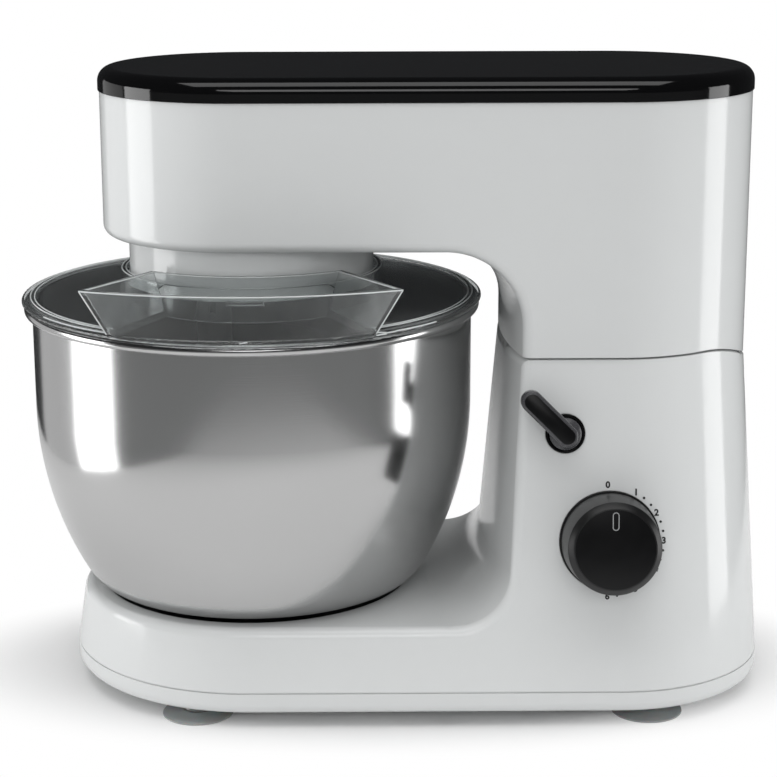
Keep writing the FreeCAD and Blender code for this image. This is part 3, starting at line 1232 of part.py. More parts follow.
def drive_parts():
    """Turning pieces of the gear train and the motor."""
    high = GEARBOX_TOP_Z + GEARBOX_TOP_PLATE
    end = PULLEY_Z + PULLEY_H + PULLEY_RISE
    commutator_top = COMMUTATOR_Z + COMMUTATOR_H
    planet = spur_gear(PLANET_TEETH, RING_MODULE, PLANET_Z, PLANET_Z + PLANET_H, TOOL_SHAFT_R + FIT,
                       TOOL_X, 180)
    return {
        "main_shaft": cyl(MAIN_SHAFT_R, CARRIER_Z, high),
        "main_gear": spur_gear(MAIN_TEETH, MAIN_MODULE, MAIN_GEAR_Z, MAIN_GEAR_Z + GEAR_H,
                               MAIN_SHAFT_R + FIT, 0.0),
        "planet_carrier": planet_carrier(),
        "planet_pinion": planet,
        "tool_shaft": tool_shaft(),
        "tool_pin": rod_y(TOOL_PIN_R, -HOOK_SOCKET_R, HOOK_SOCKET_R, TOOL_X, HOOK_PIN_Z),
        "dough_hook": dough_hook(),
        "second_shaft": cyl(SECOND_SHAFT_R, GEARBOX_Z + REST_GAP, high, SECOND_X),
        "second_pinion": spur_gear(MAIN_PINION_TEETH, MAIN_MODULE, MAIN_GEAR_Z - PINION_MARGIN,
                                   MAIN_GEAR_Z + GEAR_H + PINION_MARGIN, SECOND_SHAFT_R + FIT, SECOND_X,
                                   mesh_turn(MAIN_PINION_TEETH)),
        "second_gear": spur_gear(SECOND_TEETH, SECOND_MODULE, SECOND_GEAR_Z, SECOND_GEAR_Z + SMALL_GEAR_H,
                                 SECOND_SHAFT_R + FIT, SECOND_X),
        "first_shaft": cyl(FIRST_SHAFT_R, GEARBOX_Z + REST_GAP, end, FIRST_X),
        "first_pinion": spur_gear(FIRST_PINION_TEETH, SECOND_MODULE, SECOND_GEAR_Z - PINION_MARGIN,
                                  SECOND_GEAR_Z + SMALL_GEAR_H + PINION_MARGIN, FIRST_SHAFT_R + FIT, FIRST_X,
                                  mesh_turn(FIRST_PINION_TEETH)),
        "large_pulley": pulley(BIG_PULLEY_R, FIRST_SHAFT_R + FIT, FIRST_X),
        "motor_pulley": pulley(MOTOR_PULLEY_R, ROTOR_SHAFT_R + FIT, MOTOR_X),
        "rotor_shaft": cyl(ROTOR_SHAFT_R, MOTOR_Z + REST_GAP, end, MOTOR_X),
        "rotor_core": rotor_core(),
        "commutator": ring(COMMUTATOR_R, ROTOR_SHAFT_R + FIT, COMMUTATOR_Z, commutator_top, MOTOR_X),
        "motor_fan": motor_fan(),
    }


def head_parts():
    """Pieces that tilt with the head."""
    low_plate, high_plate = gearbox_plates()
    high = GEARBOX_TOP_Z + GEARBOX_TOP_PLATE
    belt_z = PULLEY_Z + PULLEY_H / 8 + REST_GAP
    belt_top = PULLEY_Z + PULLEY_H * 7 / 8 - REST_GAP
    bolt_z = UPPER_BRACKET_Z + BRACKET_T
    screws = [screw(x, y, high, LONG_GRIP) for x, y in PILLARS]
    screws += [screw(x, y, MOTOR_Z, HINGE_PLATE_T + SHORT_GRIP) for x, y in HINGE_SCREWS]
    return {
        "head_housing": head_housing(),
        "head_cover": head_cover(),
        "hub_collar": hub_collar(),
        "ring_gear": ring_gear(),
        "gearbox_lower_plate": low_plate,
        "gearbox_upper_plate": high_plate,
        "gearbox_pillars": gearbox_pillars(),
        "head_screws": screws,
        "plain_bushes": shaft_bushes() + hinge_bushes(),
        "drive_belt": belt_loop(FIT + BELT_T, belt_z, belt_top).cut(belt_loop(FIT, belt_z, belt_top)),
        "motor_stator": motor_stator(),
        "field_coils": field_coils(),
        "motor_lower_bracket": motor_bracket(MOTOR_Z, MOTOR_Z + BRACKET_T, STATOR_Z, True),
        "motor_upper_bracket": motor_bracket(UPPER_BRACKET_Z, STATOR_Z + STATOR_H, UPPER_BRACKET_Z, False),
        "motor_bolts": [screw(MOTOR_X + side * POST_OFF, 0, bolt_z, bolt_z - MOTOR_Z) for side in (-1, 1)],
        "carbon_brushes": brushes(),
        "brush_holders": brush_holders(),
        "hinge_arms": hinge_arms(),
        "latch_catch": latch_catch(),
    }


def base_parts():
    """Pieces that stay on the worktop."""
    screws = [screw(x, y, BASE_BOTTOM_Z + WALL, BASE_SCREW_LEN, False) for x, y in BASE_SCREWS]
    screws += [screw(x, y, SEAT_FLOOR_Z, WALL + LONG_GRIP) for x, y in SEAT_SCREWS]
    screws += [screw(x, y, YOKE_Z, HINGE_PLATE_T + SHORT_GRIP, False) for x, y in YOKE_SCREWS]
    return {
        "base_housing": base_housing(),
        "base_plate": base_plate(),
        "bowl_seat": bowl_seat(),
        "hinge_yoke": hinge_yoke(),
        "hinge_pin": rod_y(HINGE_PIN_R, -CHEEK_OUTER_Y, CHEEK_OUTER_Y, HINGE_X, HINGE_Z),
        "knob_bezel": knob_bezel(),
        "speed_switch": speed_switch(),
        "control_board": control_board(),
        "lever_bezel": lever_bezel(),
        "latch_spring": latch_spring(),
        "rear_panel": rear_panel(),
        "cord_gland": cord_gland(),
        "foot_studs": [cyl(STUD_R, FOOT_LIP, BASE_BOTTOM_Z + 2 * WALL, x, y) for x, y in FEET],
        "suction_feet": [suction_foot(x, y) for x, y in FEET],
        "base_screws": screws,
    }


def hand_parts():
    """Pieces that the user moves by hand."""
    return {
        "bowl": bowl(),
        "bowl_foot_ring": bowl_foot_ring(),
        "splash_guard": splash_guard(),
        "speed_knob": speed_knob(),
        "knob_shaft": knob_shaft(),
        "release_lever": release_lever(),
        "lever_shaft": lever_shaft(),
        "latch_hook": latch_hook(),
    }


def main():
    """Build every piece and write one file for each, with the box's middle on the origin."""
    os.makedirs("parts", exist_ok=True)
    pieces = {}
    for group in (base_parts(), head_parts(), drive_parts(), hand_parts()):
        pieces.update(group)
    shift = V((LID_R - BASE_REAR) / 2, 0, 0)
    for name, shape in pieces.items():
        piece = Part.makeCompound(shape) if isinstance(shape, list) else shape
        piece.translate(shift)
        piece.exportStep("parts/" + name + ".step")
        print(name, len(piece.Solids), round(piece.Volume / 1000, 2), piece.isValid())


main()
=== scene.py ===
"""Looks of a tilt-head stand mixer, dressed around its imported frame."""
import json
import logging
import math
from dataclasses import dataclass, field
from enum import Enum
from typing import Callable, Iterable, Sequence

import bmesh
import bpy
from mathutils import Matrix, Vector


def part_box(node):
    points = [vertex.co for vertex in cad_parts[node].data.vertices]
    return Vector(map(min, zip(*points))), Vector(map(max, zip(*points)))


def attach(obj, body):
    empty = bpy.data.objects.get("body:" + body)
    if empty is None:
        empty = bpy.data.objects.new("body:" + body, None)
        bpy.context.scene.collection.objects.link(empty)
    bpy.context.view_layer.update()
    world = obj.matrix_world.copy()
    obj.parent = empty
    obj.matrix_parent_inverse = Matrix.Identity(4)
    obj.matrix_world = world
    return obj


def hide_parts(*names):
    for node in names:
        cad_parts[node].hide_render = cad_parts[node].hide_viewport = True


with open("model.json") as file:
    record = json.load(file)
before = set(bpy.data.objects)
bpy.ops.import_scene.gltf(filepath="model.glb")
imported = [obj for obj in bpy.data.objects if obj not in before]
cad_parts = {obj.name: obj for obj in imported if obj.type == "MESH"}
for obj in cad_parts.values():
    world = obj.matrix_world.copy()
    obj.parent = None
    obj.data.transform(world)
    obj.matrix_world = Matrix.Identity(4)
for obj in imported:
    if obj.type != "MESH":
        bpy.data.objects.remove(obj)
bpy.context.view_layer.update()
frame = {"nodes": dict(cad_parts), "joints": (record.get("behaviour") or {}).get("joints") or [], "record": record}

LOG = logging.getLogger("stand_mixer")
MM = 0.001
WELD = 1e-6
ROUGHNESS_SPREAD = 0.1
SUBSURFACE_MM = 2.0
SMOOTH_BELOW_DEG = 35.0
Point = tuple[float, float]


class Surface(Enum):
    """How a surface was made, which gives it its fine pattern."""

    MOULDED = "polished mould, faint waviness"
    GRAINED = "spark-eroded mould, fine grain"
    SPUN = "turned on a lathe, rings about an upright axis"
    CAST = "cast or forged, soft unevenness"
    BANDED = "stacked or wound layers, level bands"
    PLAIN = "smooth film with slight cloudiness"


def to_linear(colour: str) -> tuple[float, float, float, float]:
    """Turn an sRGB hex colour into linear light.

    Args:
        colour: Six hex digits after a hash sign.

    Returns:
        Red, green, blue and an alpha of one.
    """
    shares = [int(colour[i:i + 2], 16) / 255 for i in (1, 3, 5)]
    light = [s / 12.92 if s <= 0.04045 else ((s + 0.055) / 1.055) ** 2.4 for s in shares]
    return (light[0], light[1], light[2], 1.0)


def add_node(tree: bpy.types.NodeTree, kind: str, values: dict, links: dict) -> bpy.types.Node:
    """Add a node with its settings and its incoming links.

    Args:
        tree: Node tree that takes the node.
        kind: Blender's name of the node type.
        values: Socket values by input name or number, or properties by name.
        links: Output sockets by the name or number of the input they feed.

    Returns:
        The new node.
    """
    node = tree.nodes.new(kind)
    for key, value in values.items():
        if isinstance(key, int) or key in node.inputs:
            node.inputs[key].default_value = value
        else:
            setattr(node, key, value)
    for key, source in links.items():
        tree.links.new(source, node.inputs[key])
    return node


@dataclass(frozen=True)
class Finish:
    """A material, named for what the real one is.

    The pattern size is the real spacing in millimetres, and the relief is its depth.
    """

    name: str
    colour: str
    surface: Surface
    roughness: float
    metallic: float = 0.0
    ior: float = 1.5
    transmission: float = 0.0
    anisotropy: float = 0.0
    subsurface: float = 0.0
    pattern_mm: float = 1.0
    relief_mm: float = 0.01
    shade: float = 0.04
    edge_mm: float = 0.0

    def material(self) -> bpy.types.Material:
        """Return the material, making it on its first use."""
        found = bpy.data.materials.get(self.name)
        return found if found else self._make()

    def _make(self) -> bpy.types.Material:
        """Build the node tree of the material.

        Returns:
            The new material.
        """
        made = bpy.data.materials.new(self.name)
        made.use_nodes = True
        tree = made.node_tree
        tree.nodes.clear()
        height = self._pattern(tree)
        base = to_linear(self.colour)
        low = tuple(c * (1 - self.shade) for c in base[:3]) + (1.0,)
        tint = add_node(tree, "ShaderNodeMix", {"data_type": "RGBA", 6: low, 7: base}, {0: height})
        rough = add_node(
            tree, "ShaderNodeMapRange",
            {"To Min": self.roughness * (1 - ROUGHNESS_SPREAD),
             "To Max": self.roughness * (1 + ROUGHNESS_SPREAD)}, {"Value": height})
        edge = {}
        if self.edge_mm:
            rounding = add_node(tree, "ShaderNodeBevel", {"samples": 6, "Radius": self.edge_mm * MM}, {})
            edge = {"Normal": rounding.outputs[0]}
        bump = add_node(
            tree, "ShaderNodeBump", {"Strength": 1.0, "Distance": self.relief_mm * MM},
            {"Height": height} | edge)
        values = {
            "Metallic": self.metallic, "IOR": self.ior, "Transmission Weight": self.transmission,
            "Anisotropic": self.anisotropy, "Subsurface Weight": self.subsurface,
            "Subsurface Scale": SUBSURFACE_MM * MM,
        }
        links = {"Base Color": tint.outputs[2], "Roughness": rough.outputs[0], "Normal": bump.outputs[0]}
        if self.anisotropy:
            around = add_node(tree, "ShaderNodeTangent", {"direction_type": "RADIAL", "axis": "Z"}, {})
            links["Tangent"] = around.outputs[0]
        shader = add_node(tree, "ShaderNodeBsdfPrincipled", values, links)
        add_node(tree, "ShaderNodeOutputMaterial", {}, {"Surface": shader.outputs[0]})
        return made

    def _pattern(self, tree: bpy.types.NodeTree) -> bpy.types.NodeSocket:
        """Add the surface's fine pattern.

        Args:
            tree: Node tree of the material.

        Returns:
            A socket with the pattern's height from 0 to 1.
        """
        place = add_node(tree, "ShaderNodeTexCoord", {}, {}).outputs["Object"]
        scale = 1 / (self.pattern_mm * MM)
        if self.surface is Surface.SPUN:
            split = add_node(tree, "ShaderNodeSeparateXYZ", {}, {"Vector": place})
            rings = add_node(
                tree, "ShaderNodeTexNoise",
                {"noise_dimensions": "1D", "Scale": scale, "Detail": 3.0, "Roughness": 0.6},
                {"W": split.outputs["Z"]})
            return rings.outputs[0]
        if self.surface is Surface.BANDED:
            bands = add_node(
                tree, "ShaderNodeTexWave",
                {"bands_direction": "Z", "Scale": scale / 20, "Distortion": 0.4, "Detail": 1.0},
                {"Vector": place})
            return bands.outputs["Fac"]
        detail = {Surface.MOULDED: 1.0, Surface.PLAIN: 0.0}.get(self.surface, 4.0)
        cloud = add_node(
            tree, "ShaderNodeTexNoise", {"Scale": scale, "Detail": detail, "Roughness": 0.5},
            {"Vector": place})
        return cloud.outputs[0]


# Injection-moulded ABS: white, high gloss, with the faint waviness of a thick moulding
WHITE_ABS = Finish("white_gloss_abs", "#dddfdf", Surface.MOULDED, 0.13, ior=1.53,
                   pattern_mm=14, relief_mm=0.008, shade=0.015, edge_mm=0.7)
# Piano-black ABS: deep gloss that mirrors the lamps
BLACK_GLOSS = Finish("black_gloss_abs", "#0a0a0b", Surface.MOULDED, 0.07, ior=1.5,
                     pattern_mm=18, relief_mm=0.006, shade=0.1, edge_mm=0.4)
# Textured ABS: dark satin with a fine eroded grain, drawn coarser than life so that it shows
BLACK_SATIN = Finish("black_satin_abs", "#131314", Surface.GRAINED, 0.36,
                     pattern_mm=0.5, relief_mm=0.02, shade=0.2)
# Sides of the lever and its boss: a lighter grey copy of the black satin moulding, painted highlight on the
# lever's bevels and boss
PAINTED_HIGHLIGHT_GREY_SATIN = Finish("painted_highlight_grey_satin_abs", "#48484b", Surface.GRAINED, 0.27,
                    pattern_mm=0.5, relief_mm=0.015, shade=0.2)
# Faces of the knob and the lever: a darker, less shiny copy of the black moulding, painted shade on the faces
PAINTED_SHADE_BLACK = Finish("painted_shade_black", "#08080a", Surface.PLAIN, 0.3, ior=1.36,
                       pattern_mm=5, relief_mm=0.002, shade=0.3)
# Spun stainless steel: bright, with fine rings that draw reflections out upright
SPUN_STEEL = Finish("spun_stainless_steel", "#c2c2c2", Surface.SPUN, 0.15, metallic=1.0,
                    anisotropy=0.55, pattern_mm=0.5, relief_mm=0.0025, shade=0.05)
# Moulded polycarbonate: water-clear with glossy edges
CLEAR_PC = Finish("clear_polycarbonate", "#f4f7f7", Surface.PLAIN, 0.03, ior=1.58,
                  transmission=0.96, pattern_mm=20, relief_mm=0.004, shade=0.02, edge_mm=0.4)
# Painted highlight on the edges of the clear moulding: pale beads that stand in for the light the edges catch
PAINTED_HIGHLIGHT_CLEAR_EDGE = Finish("painted_highlight_clear_edge", "#f2f6f6", Surface.PLAIN, 0.12, ior=1.58,
                    transmission=0.25, pattern_mm=12, relief_mm=0.002, shade=0.06)
# Soft vinyl: cloudy grey that lets some light through
SOFT_VINYL = Finish("translucent_vinyl", "#b9bdbd", Surface.PLAIN, 0.22, ior=1.45, transmission=0.3,
                    subsurface=0.3, pattern_mm=6, relief_mm=0.01, shade=0.08)
# Nickel-plated steel: bright turned studs and pins
PLATED_STEEL = Finish("plated_steel", "#d0d0ce", Surface.SPUN, 0.16, metallic=1.0,
                      pattern_mm=0.6, relief_mm=0.003)
# Pressed steel sheet: duller, with soft rolling marks
SHEET_STEEL = Finish("pressed_steel_sheet", "#a3a4a6", Surface.CAST, 0.34, metallic=1.0,
                     pattern_mm=3, relief_mm=0.01)
# Die-cast aluminium: pale and softly uneven
CAST_ALLOY = Finish("die_cast_aluminium", "#b9babb", Surface.CAST, 0.32, metallic=1.0,
                    pattern_mm=1.2, relief_mm=0.02)
# Oil-filled bronze: brown-gold, matt
BRONZE = Finish("sintered_bronze", "#a8793f", Surface.CAST, 0.45, metallic=1.0, pattern_mm=0.6,
                relief_mm=0.02)
# Enamelled copper wire: turns lie in level bands
COPPER_WIRE = Finish("enamelled_copper_wire", "#a85a33", Surface.BANDED, 0.35, metallic=1.0,
                     pattern_mm=0.8, relief_mm=0.12, shade=0.3)
# Stamped iron sheets in a stack
LAMINATIONS = Finish("laminated_iron", "#56575a", Surface.BANDED, 0.5, metallic=1.0, pattern_mm=0.7,
                     relief_mm=0.06, shade=0.25)
# Moulded nylon: ivory gears and sleeves
NYLON = Finish("ivory_nylon", "#d9d3c2", Surface.GRAINED, 0.42, pattern_mm=0.8, relief_mm=0.01)
# Ribbed belt rubber
BELT_RUBBER = Finish("belt_rubber", "#19191a", Surface.BANDED, 0.6, pattern_mm=2, relief_mm=0.2,
                     shade=0.3)
# Glass-fibre board with green lacquer
BOARD_GREEN = Finish("lacquered_fibre_board", "#14502c", Surface.GRAINED, 0.35, pattern_mm=1.2,
                     relief_mm=0.01, shade=0.3)
# Pressed carbon
CARBON = Finish("pressed_carbon", "#232325", Surface.CAST, 0.6, pattern_mm=0.8, relief_mm=0.02)
# Pad-printed ink: flat and nearly black
PRINT_INK = Finish("dark_print_ink", "#121314", Surface.PLAIN, 0.45, pattern_mm=4, relief_mm=0.001)
# Pale outline printed round the knob's pointer
PALE_INK = Finish("pale_print_ink", "#9a9c9d", Surface.PLAIN, 0.45, pattern_mm=4, relief_mm=0.001)

CAD_FINISHES: dict[str, Finish] = {
    "white_abs": WHITE_ABS, "black_gloss": BLACK_GLOSS, "black_satin": BLACK_SATIN,
    "bowl_steel": SPUN_STEEL, "steel": SHEET_STEEL, "bronze": BRONZE, "copper": COPPER_WIRE,
    "iron": LAMINATIONS, "alloy": CAST_ALLOY, "clear": CLEAR_PC, "soft": SOFT_VINYL,
    "belt": BELT_RUBBER, "board": BOARD_GREEN, "carbon": CARBON, "nylon": NYLON,
}


def dress_frame() -> None:
    """Give every CAD node the finish of its material slot."""
    for entry in frame["record"]["subparts"]:
        mesh = frame["nodes"][entry["node"]].data
        mesh.materials.clear()
        mesh.materials.append(CAD_FINISHES[entry["material_slot"]].material())


def arc(x: float, z: float, r: float, start: float, end: float, steps: int) -> list[Point]:
    """Points on a round stretch of a profile.

    Args:
        x: Centre's distance from the turning axis.
        z: Centre's height.
        r: Radius.
        start: First angle in degrees, from the outward direction.
        end: Last angle in degrees.
        steps: Number of chords.

    Returns:
        The points from start to end.
    """
    turns = [math.radians(start + (end - start) * i / steps) for i in range(steps + 1)]
    return [(x + r * math.cos(a), z + r * math.sin(a)) for a in turns]


def turned(profile: Sequence[Point], steps: int, corner: float = 0.0) -> bmesh.types.BMesh:
    """Turn a profile about the upright axis, as on a lathe.

    Args:
        profile: Points as distance from the axis and height, in millimetres.
        steps: Facets round the axis.
        corner: Rounding of the profile's inner points, in millimetres.

    Returns:
        The turned form about the origin, in metres.
    """
    bm = bmesh.new()
    line = [bm.verts.new((r * MM, 0, z * MM)) for r, z in profile]
    for a, b in zip(line, line[1:]):
        bm.edges.new((a, b))
    if corner:
        bmesh.ops.bevel(bm, geom=line[1:-1], offset=corner * MM, segments=3, profile=0.5,
                        affect="VERTICES", material=-1)
    bmesh.ops.spin(bm, geom=bm.verts[:] + bm.edges[:], cent=(0, 0, 0), axis=(0, 0, 1),
                   angle=2 * math.pi, steps=steps, use_merge=True)
    bmesh.ops.remove_doubles(bm, verts=bm.verts, dist=WELD)
    bmesh.ops.recalc_face_normals(bm, faces=bm.faces)
    return bm


def stadium(length: float, radius: float, segments: int = 48) -> bmesh.types.BMesh:
    """Flat face with two round ends; one end's centre is on the origin, the other along +Y.

    Args:
        length: Distance between the two centres in millimetres.
        radius: Radius of the ends in millimetres.
        segments: Facets of the whole circle.

    Returns:
        The face, in metres.
    """
    bm = bmesh.new()
    bmesh.ops.create_circle(bm, cap_ends=True, segments=segments, radius=radius * MM)
    far = [v for v in bm.verts if v.co.y > -1e-9]
    bmesh.ops.translate(bm, verts=far, vec=(0, length * MM, 0))
    return bm


def raise_face(bm: bmesh.types.BMesh, height: float) -> None:
    """Pull all faces of a flat mesh up into a block, in millimetres.

    Args:
        bm: Flat mesh to change.
        height: Height of the block.
    """
    pulled = bmesh.ops.extrude_face_region(bm, geom=bm.faces[:])
    top = [g for g in pulled["geom"] if isinstance(g, bmesh.types.BMVert)]
    bmesh.ops.translate(bm, verts=top, vec=(0, 0, height * MM))
    bmesh.ops.recalc_face_normals(bm, faces=bm.faces)


def soften(bm: bmesh.types.BMesh, width: float, segments: int, angle: float = 50.0) -> None:
    """Round the sharp edges of a mesh.

    Args:
        bm: Mesh to change.
        width: Width of the rounding in millimetres.
        segments: Facets of the rounding.
        angle: Least angle of an edge that is rounded, in degrees.
    """
    sharp = [e for e in bm.edges if e.is_manifold and e.calc_face_angle(0) > math.radians(angle)]
    bmesh.ops.bevel(bm, geom=sharp, offset=width * MM, segments=segments, profile=0.5,
                    affect="EDGES", material=-1)


def merge(parts: Iterable[bmesh.types.BMesh]) -> bmesh.types.BMesh:
    """Put several meshes into one, and free them.

    Args:
        parts: Meshes that share one place.

    Returns:
        The joined mesh.
    """
    whole = bmesh.new()
    for part in parts:
        mesh = bpy.data.meshes.new("part")
        part.to_mesh(mesh)
        part.free()
        whole.from_mesh(mesh)
        bpy.data.meshes.remove(mesh)
    return whole


def curve_mesh(curve: bpy.types.Curve) -> bmesh.types.BMesh:
    """Turn a curve or a text into a mesh, and remove it.

    Args:
        curve: Curve or text at the origin.

    Returns:
        Its mesh.
    """
    holder = bpy.data.objects.new(curve.name, curve)
    mesh = bpy.data.meshes.new_from_object(holder)
    bm = bmesh.new()
    bm.from_mesh(mesh)
    bpy.data.objects.remove(holder)
    bpy.data.curves.remove(curve)
    bpy.data.meshes.remove(mesh)
    return bm


def piece(name: str, bm: bmesh.types.BMesh, body: str, finish: Finish,
          stands_for: Sequence[str] = ()) -> None:
    """Make a mesh a piece that rides on a body.

    Args:
        name: Name of the piece.
        bm: Its mesh in the frame, which is freed.
        body: Body it moves with.
        finish: Its finish.
        stands_for: CAD nodes that it is shown in place of.
    """
    mesh = bpy.data.meshes.new(name)
    bm.to_mesh(mesh)
    bm.free()
    mesh.materials.append(finish.material())
    mesh.shade_smooth()
    mesh.set_sharp_from_angle(angle=math.radians(SMOOTH_BELOW_DEG))
    made = bpy.data.objects.new(name, mesh)
    bpy.context.scene.collection.objects.link(made)
    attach(made, body)
    if stands_for:
        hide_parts(*stands_for)
    LOG.info("%s: %d faces on %s", name, len(mesh.polygons), body)


def wall_frame(joint: str) -> Matrix:
    """Place on the near wall: local Z stands out of it, local Y runs up it.

    Args:
        joint: Name of the joint whose axis stands on the wall.

    Returns:
        Matrix from the wall's place to the frame.
    """
    found = next(j for j in frame["joints"] if j["name"] == joint)
    out = -Vector(found["axis"]).normalized()
    right = Vector((1, 0, 0))
    up = out.cross(right)
    turn = Matrix((right, up, out)).transposed().to_4x4()
    return Matrix.Translation(found["pos_m"]) @ turn


@dataclass
class Bowl:
    """Spun bowl with a rolled rim. Radii and heights are in millimetres."""

    wall: float = 1.0
    bead: float = 2.5
    arc_radius: float = 171.0
    heel_radius: float = 24.0
    heel_angle: float = 29.5
    facets: int = 160
    round_steps: int = 24
    heel_steps: int = 18

    def build(self) -> None:
        """Make the bowl in place of its CAD solid."""
        low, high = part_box("bowl")
        radius = (high.x - low.x) / 2 / MM - 2 * self.bead + self.wall
        floor = low.z / MM
        bead_z = high.z / MM - self.bead
        bead_r = radius + self.bead - self.wall
        outer = self._wall_line(radius, floor, 0.0)
        under = math.degrees(math.acos((radius - bead_r) / self.bead))
        rim = arc(bead_r, bead_z, self.bead, -under, 180, self.round_steps)
        inner = self._wall_line(radius, floor, self.wall)
        bm = turned(outer + rim + inner[::-1], self.facets)
        bmesh.ops.translate(bm, verts=bm.verts, vec=((low.x + high.x) / 2, 0, 0))
        piece("steel_bowl", bm, "bowl", SPUN_STEEL, ["bowl"])

    def _wall_line(self, radius: float, floor: float, inset: float) -> list[Point]:
        """Profile of one side of the wall, from the middle of the floor up.

        Args:
            radius: Outer radius of the upright wall.
            floor: Height of the underside.
            inset: Distance of this side from the outer one.

        Returns:
            The profile's points.
        """
        turn = math.radians(self.heel_angle)
        reach = self.arc_radius - self.heel_radius
        heel_x = radius - self.arc_radius + reach * math.cos(turn)
        heel_z = floor + self.heel_radius
        arc_z = heel_z + reach * math.sin(turn)
        heel = arc(heel_x, heel_z, self.heel_radius - inset, -90, -self.heel_angle, self.heel_steps)
        side = arc(radius - self.arc_radius, arc_z, self.arc_radius - inset, -self.heel_angle, 0,
                   self.round_steps)
        return [(0.0, floor + inset), (heel_x / 2, floor + inset)] + heel + side[1:]


@dataclass
class SplashGuard:
    """Pale beads along the edges of the clear guard and its pouring chute, a painted highlight of their rounded
    edges. Millimetres and degrees.
    """

    edge: float = 0.35
    fold: float = 40.0
    shortest: float = 0.3
    from_height: float = 4.5

    def build(self) -> None:
        """Lay a thin pale bead, a painted highlight, along each sharp edge on the guard's upper side."""
        node = frame["nodes"]["splash_guard"]
        guard = bmesh.new()
        guard.from_mesh(node.data)
        bmesh.ops.transform(guard, matrix=node.matrix_world, verts=guard.verts)
        bmesh.ops.remove_doubles(guard, verts=guard.verts, dist=WELD)
        beads = bpy.data.curves.new("painted_highlight_guard_edges", "CURVE")
        beads.dimensions = "3D"
        beads.bevel_depth = self.edge * MM
        beads.bevel_resolution = 1
        beads.use_fill_caps = True
        low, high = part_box("splash_guard")
        room = Vector((1, 1, 1)) * self.edge * MM
        for fold in self._folds(guard, low.z):
            line = beads.splines.new("POLY")
            line.points.add(1)
            for point, vert in zip(line.points, fold.verts):
                inside = [sorted(spot)[1] for spot in zip(low + room, vert.co, high - room)]
                point.co = (*inside, 1.0)
        guard.free()
        piece("painted_highlight_guard_edges", curve_mesh(beads), "guard", PAINTED_HIGHLIGHT_CLEAR_EDGE)

    def _folds(self, guard: bmesh.types.BMesh, bottom: float) -> list[bmesh.types.BMEdge]:
        """Find the edges of the guard's upper side where two faces meet in an outward corner.

        Args:
            guard: The guard's merged mesh in the frame.
            bottom: Height of its underside in metres.

        Returns:
            The edges that are long enough for a bead.
        """
        least = math.radians(self.fold)
        floor = bottom + self.from_height * MM
        sharp = [e for e in guard.edges if e.is_manifold and e.is_convex and e.calc_face_angle(0) > least]
        long = [e for e in sharp if e.calc_length() > self.shortest * MM]
        return [e for e in long if min(v.co.z for v in e.verts) > floor]


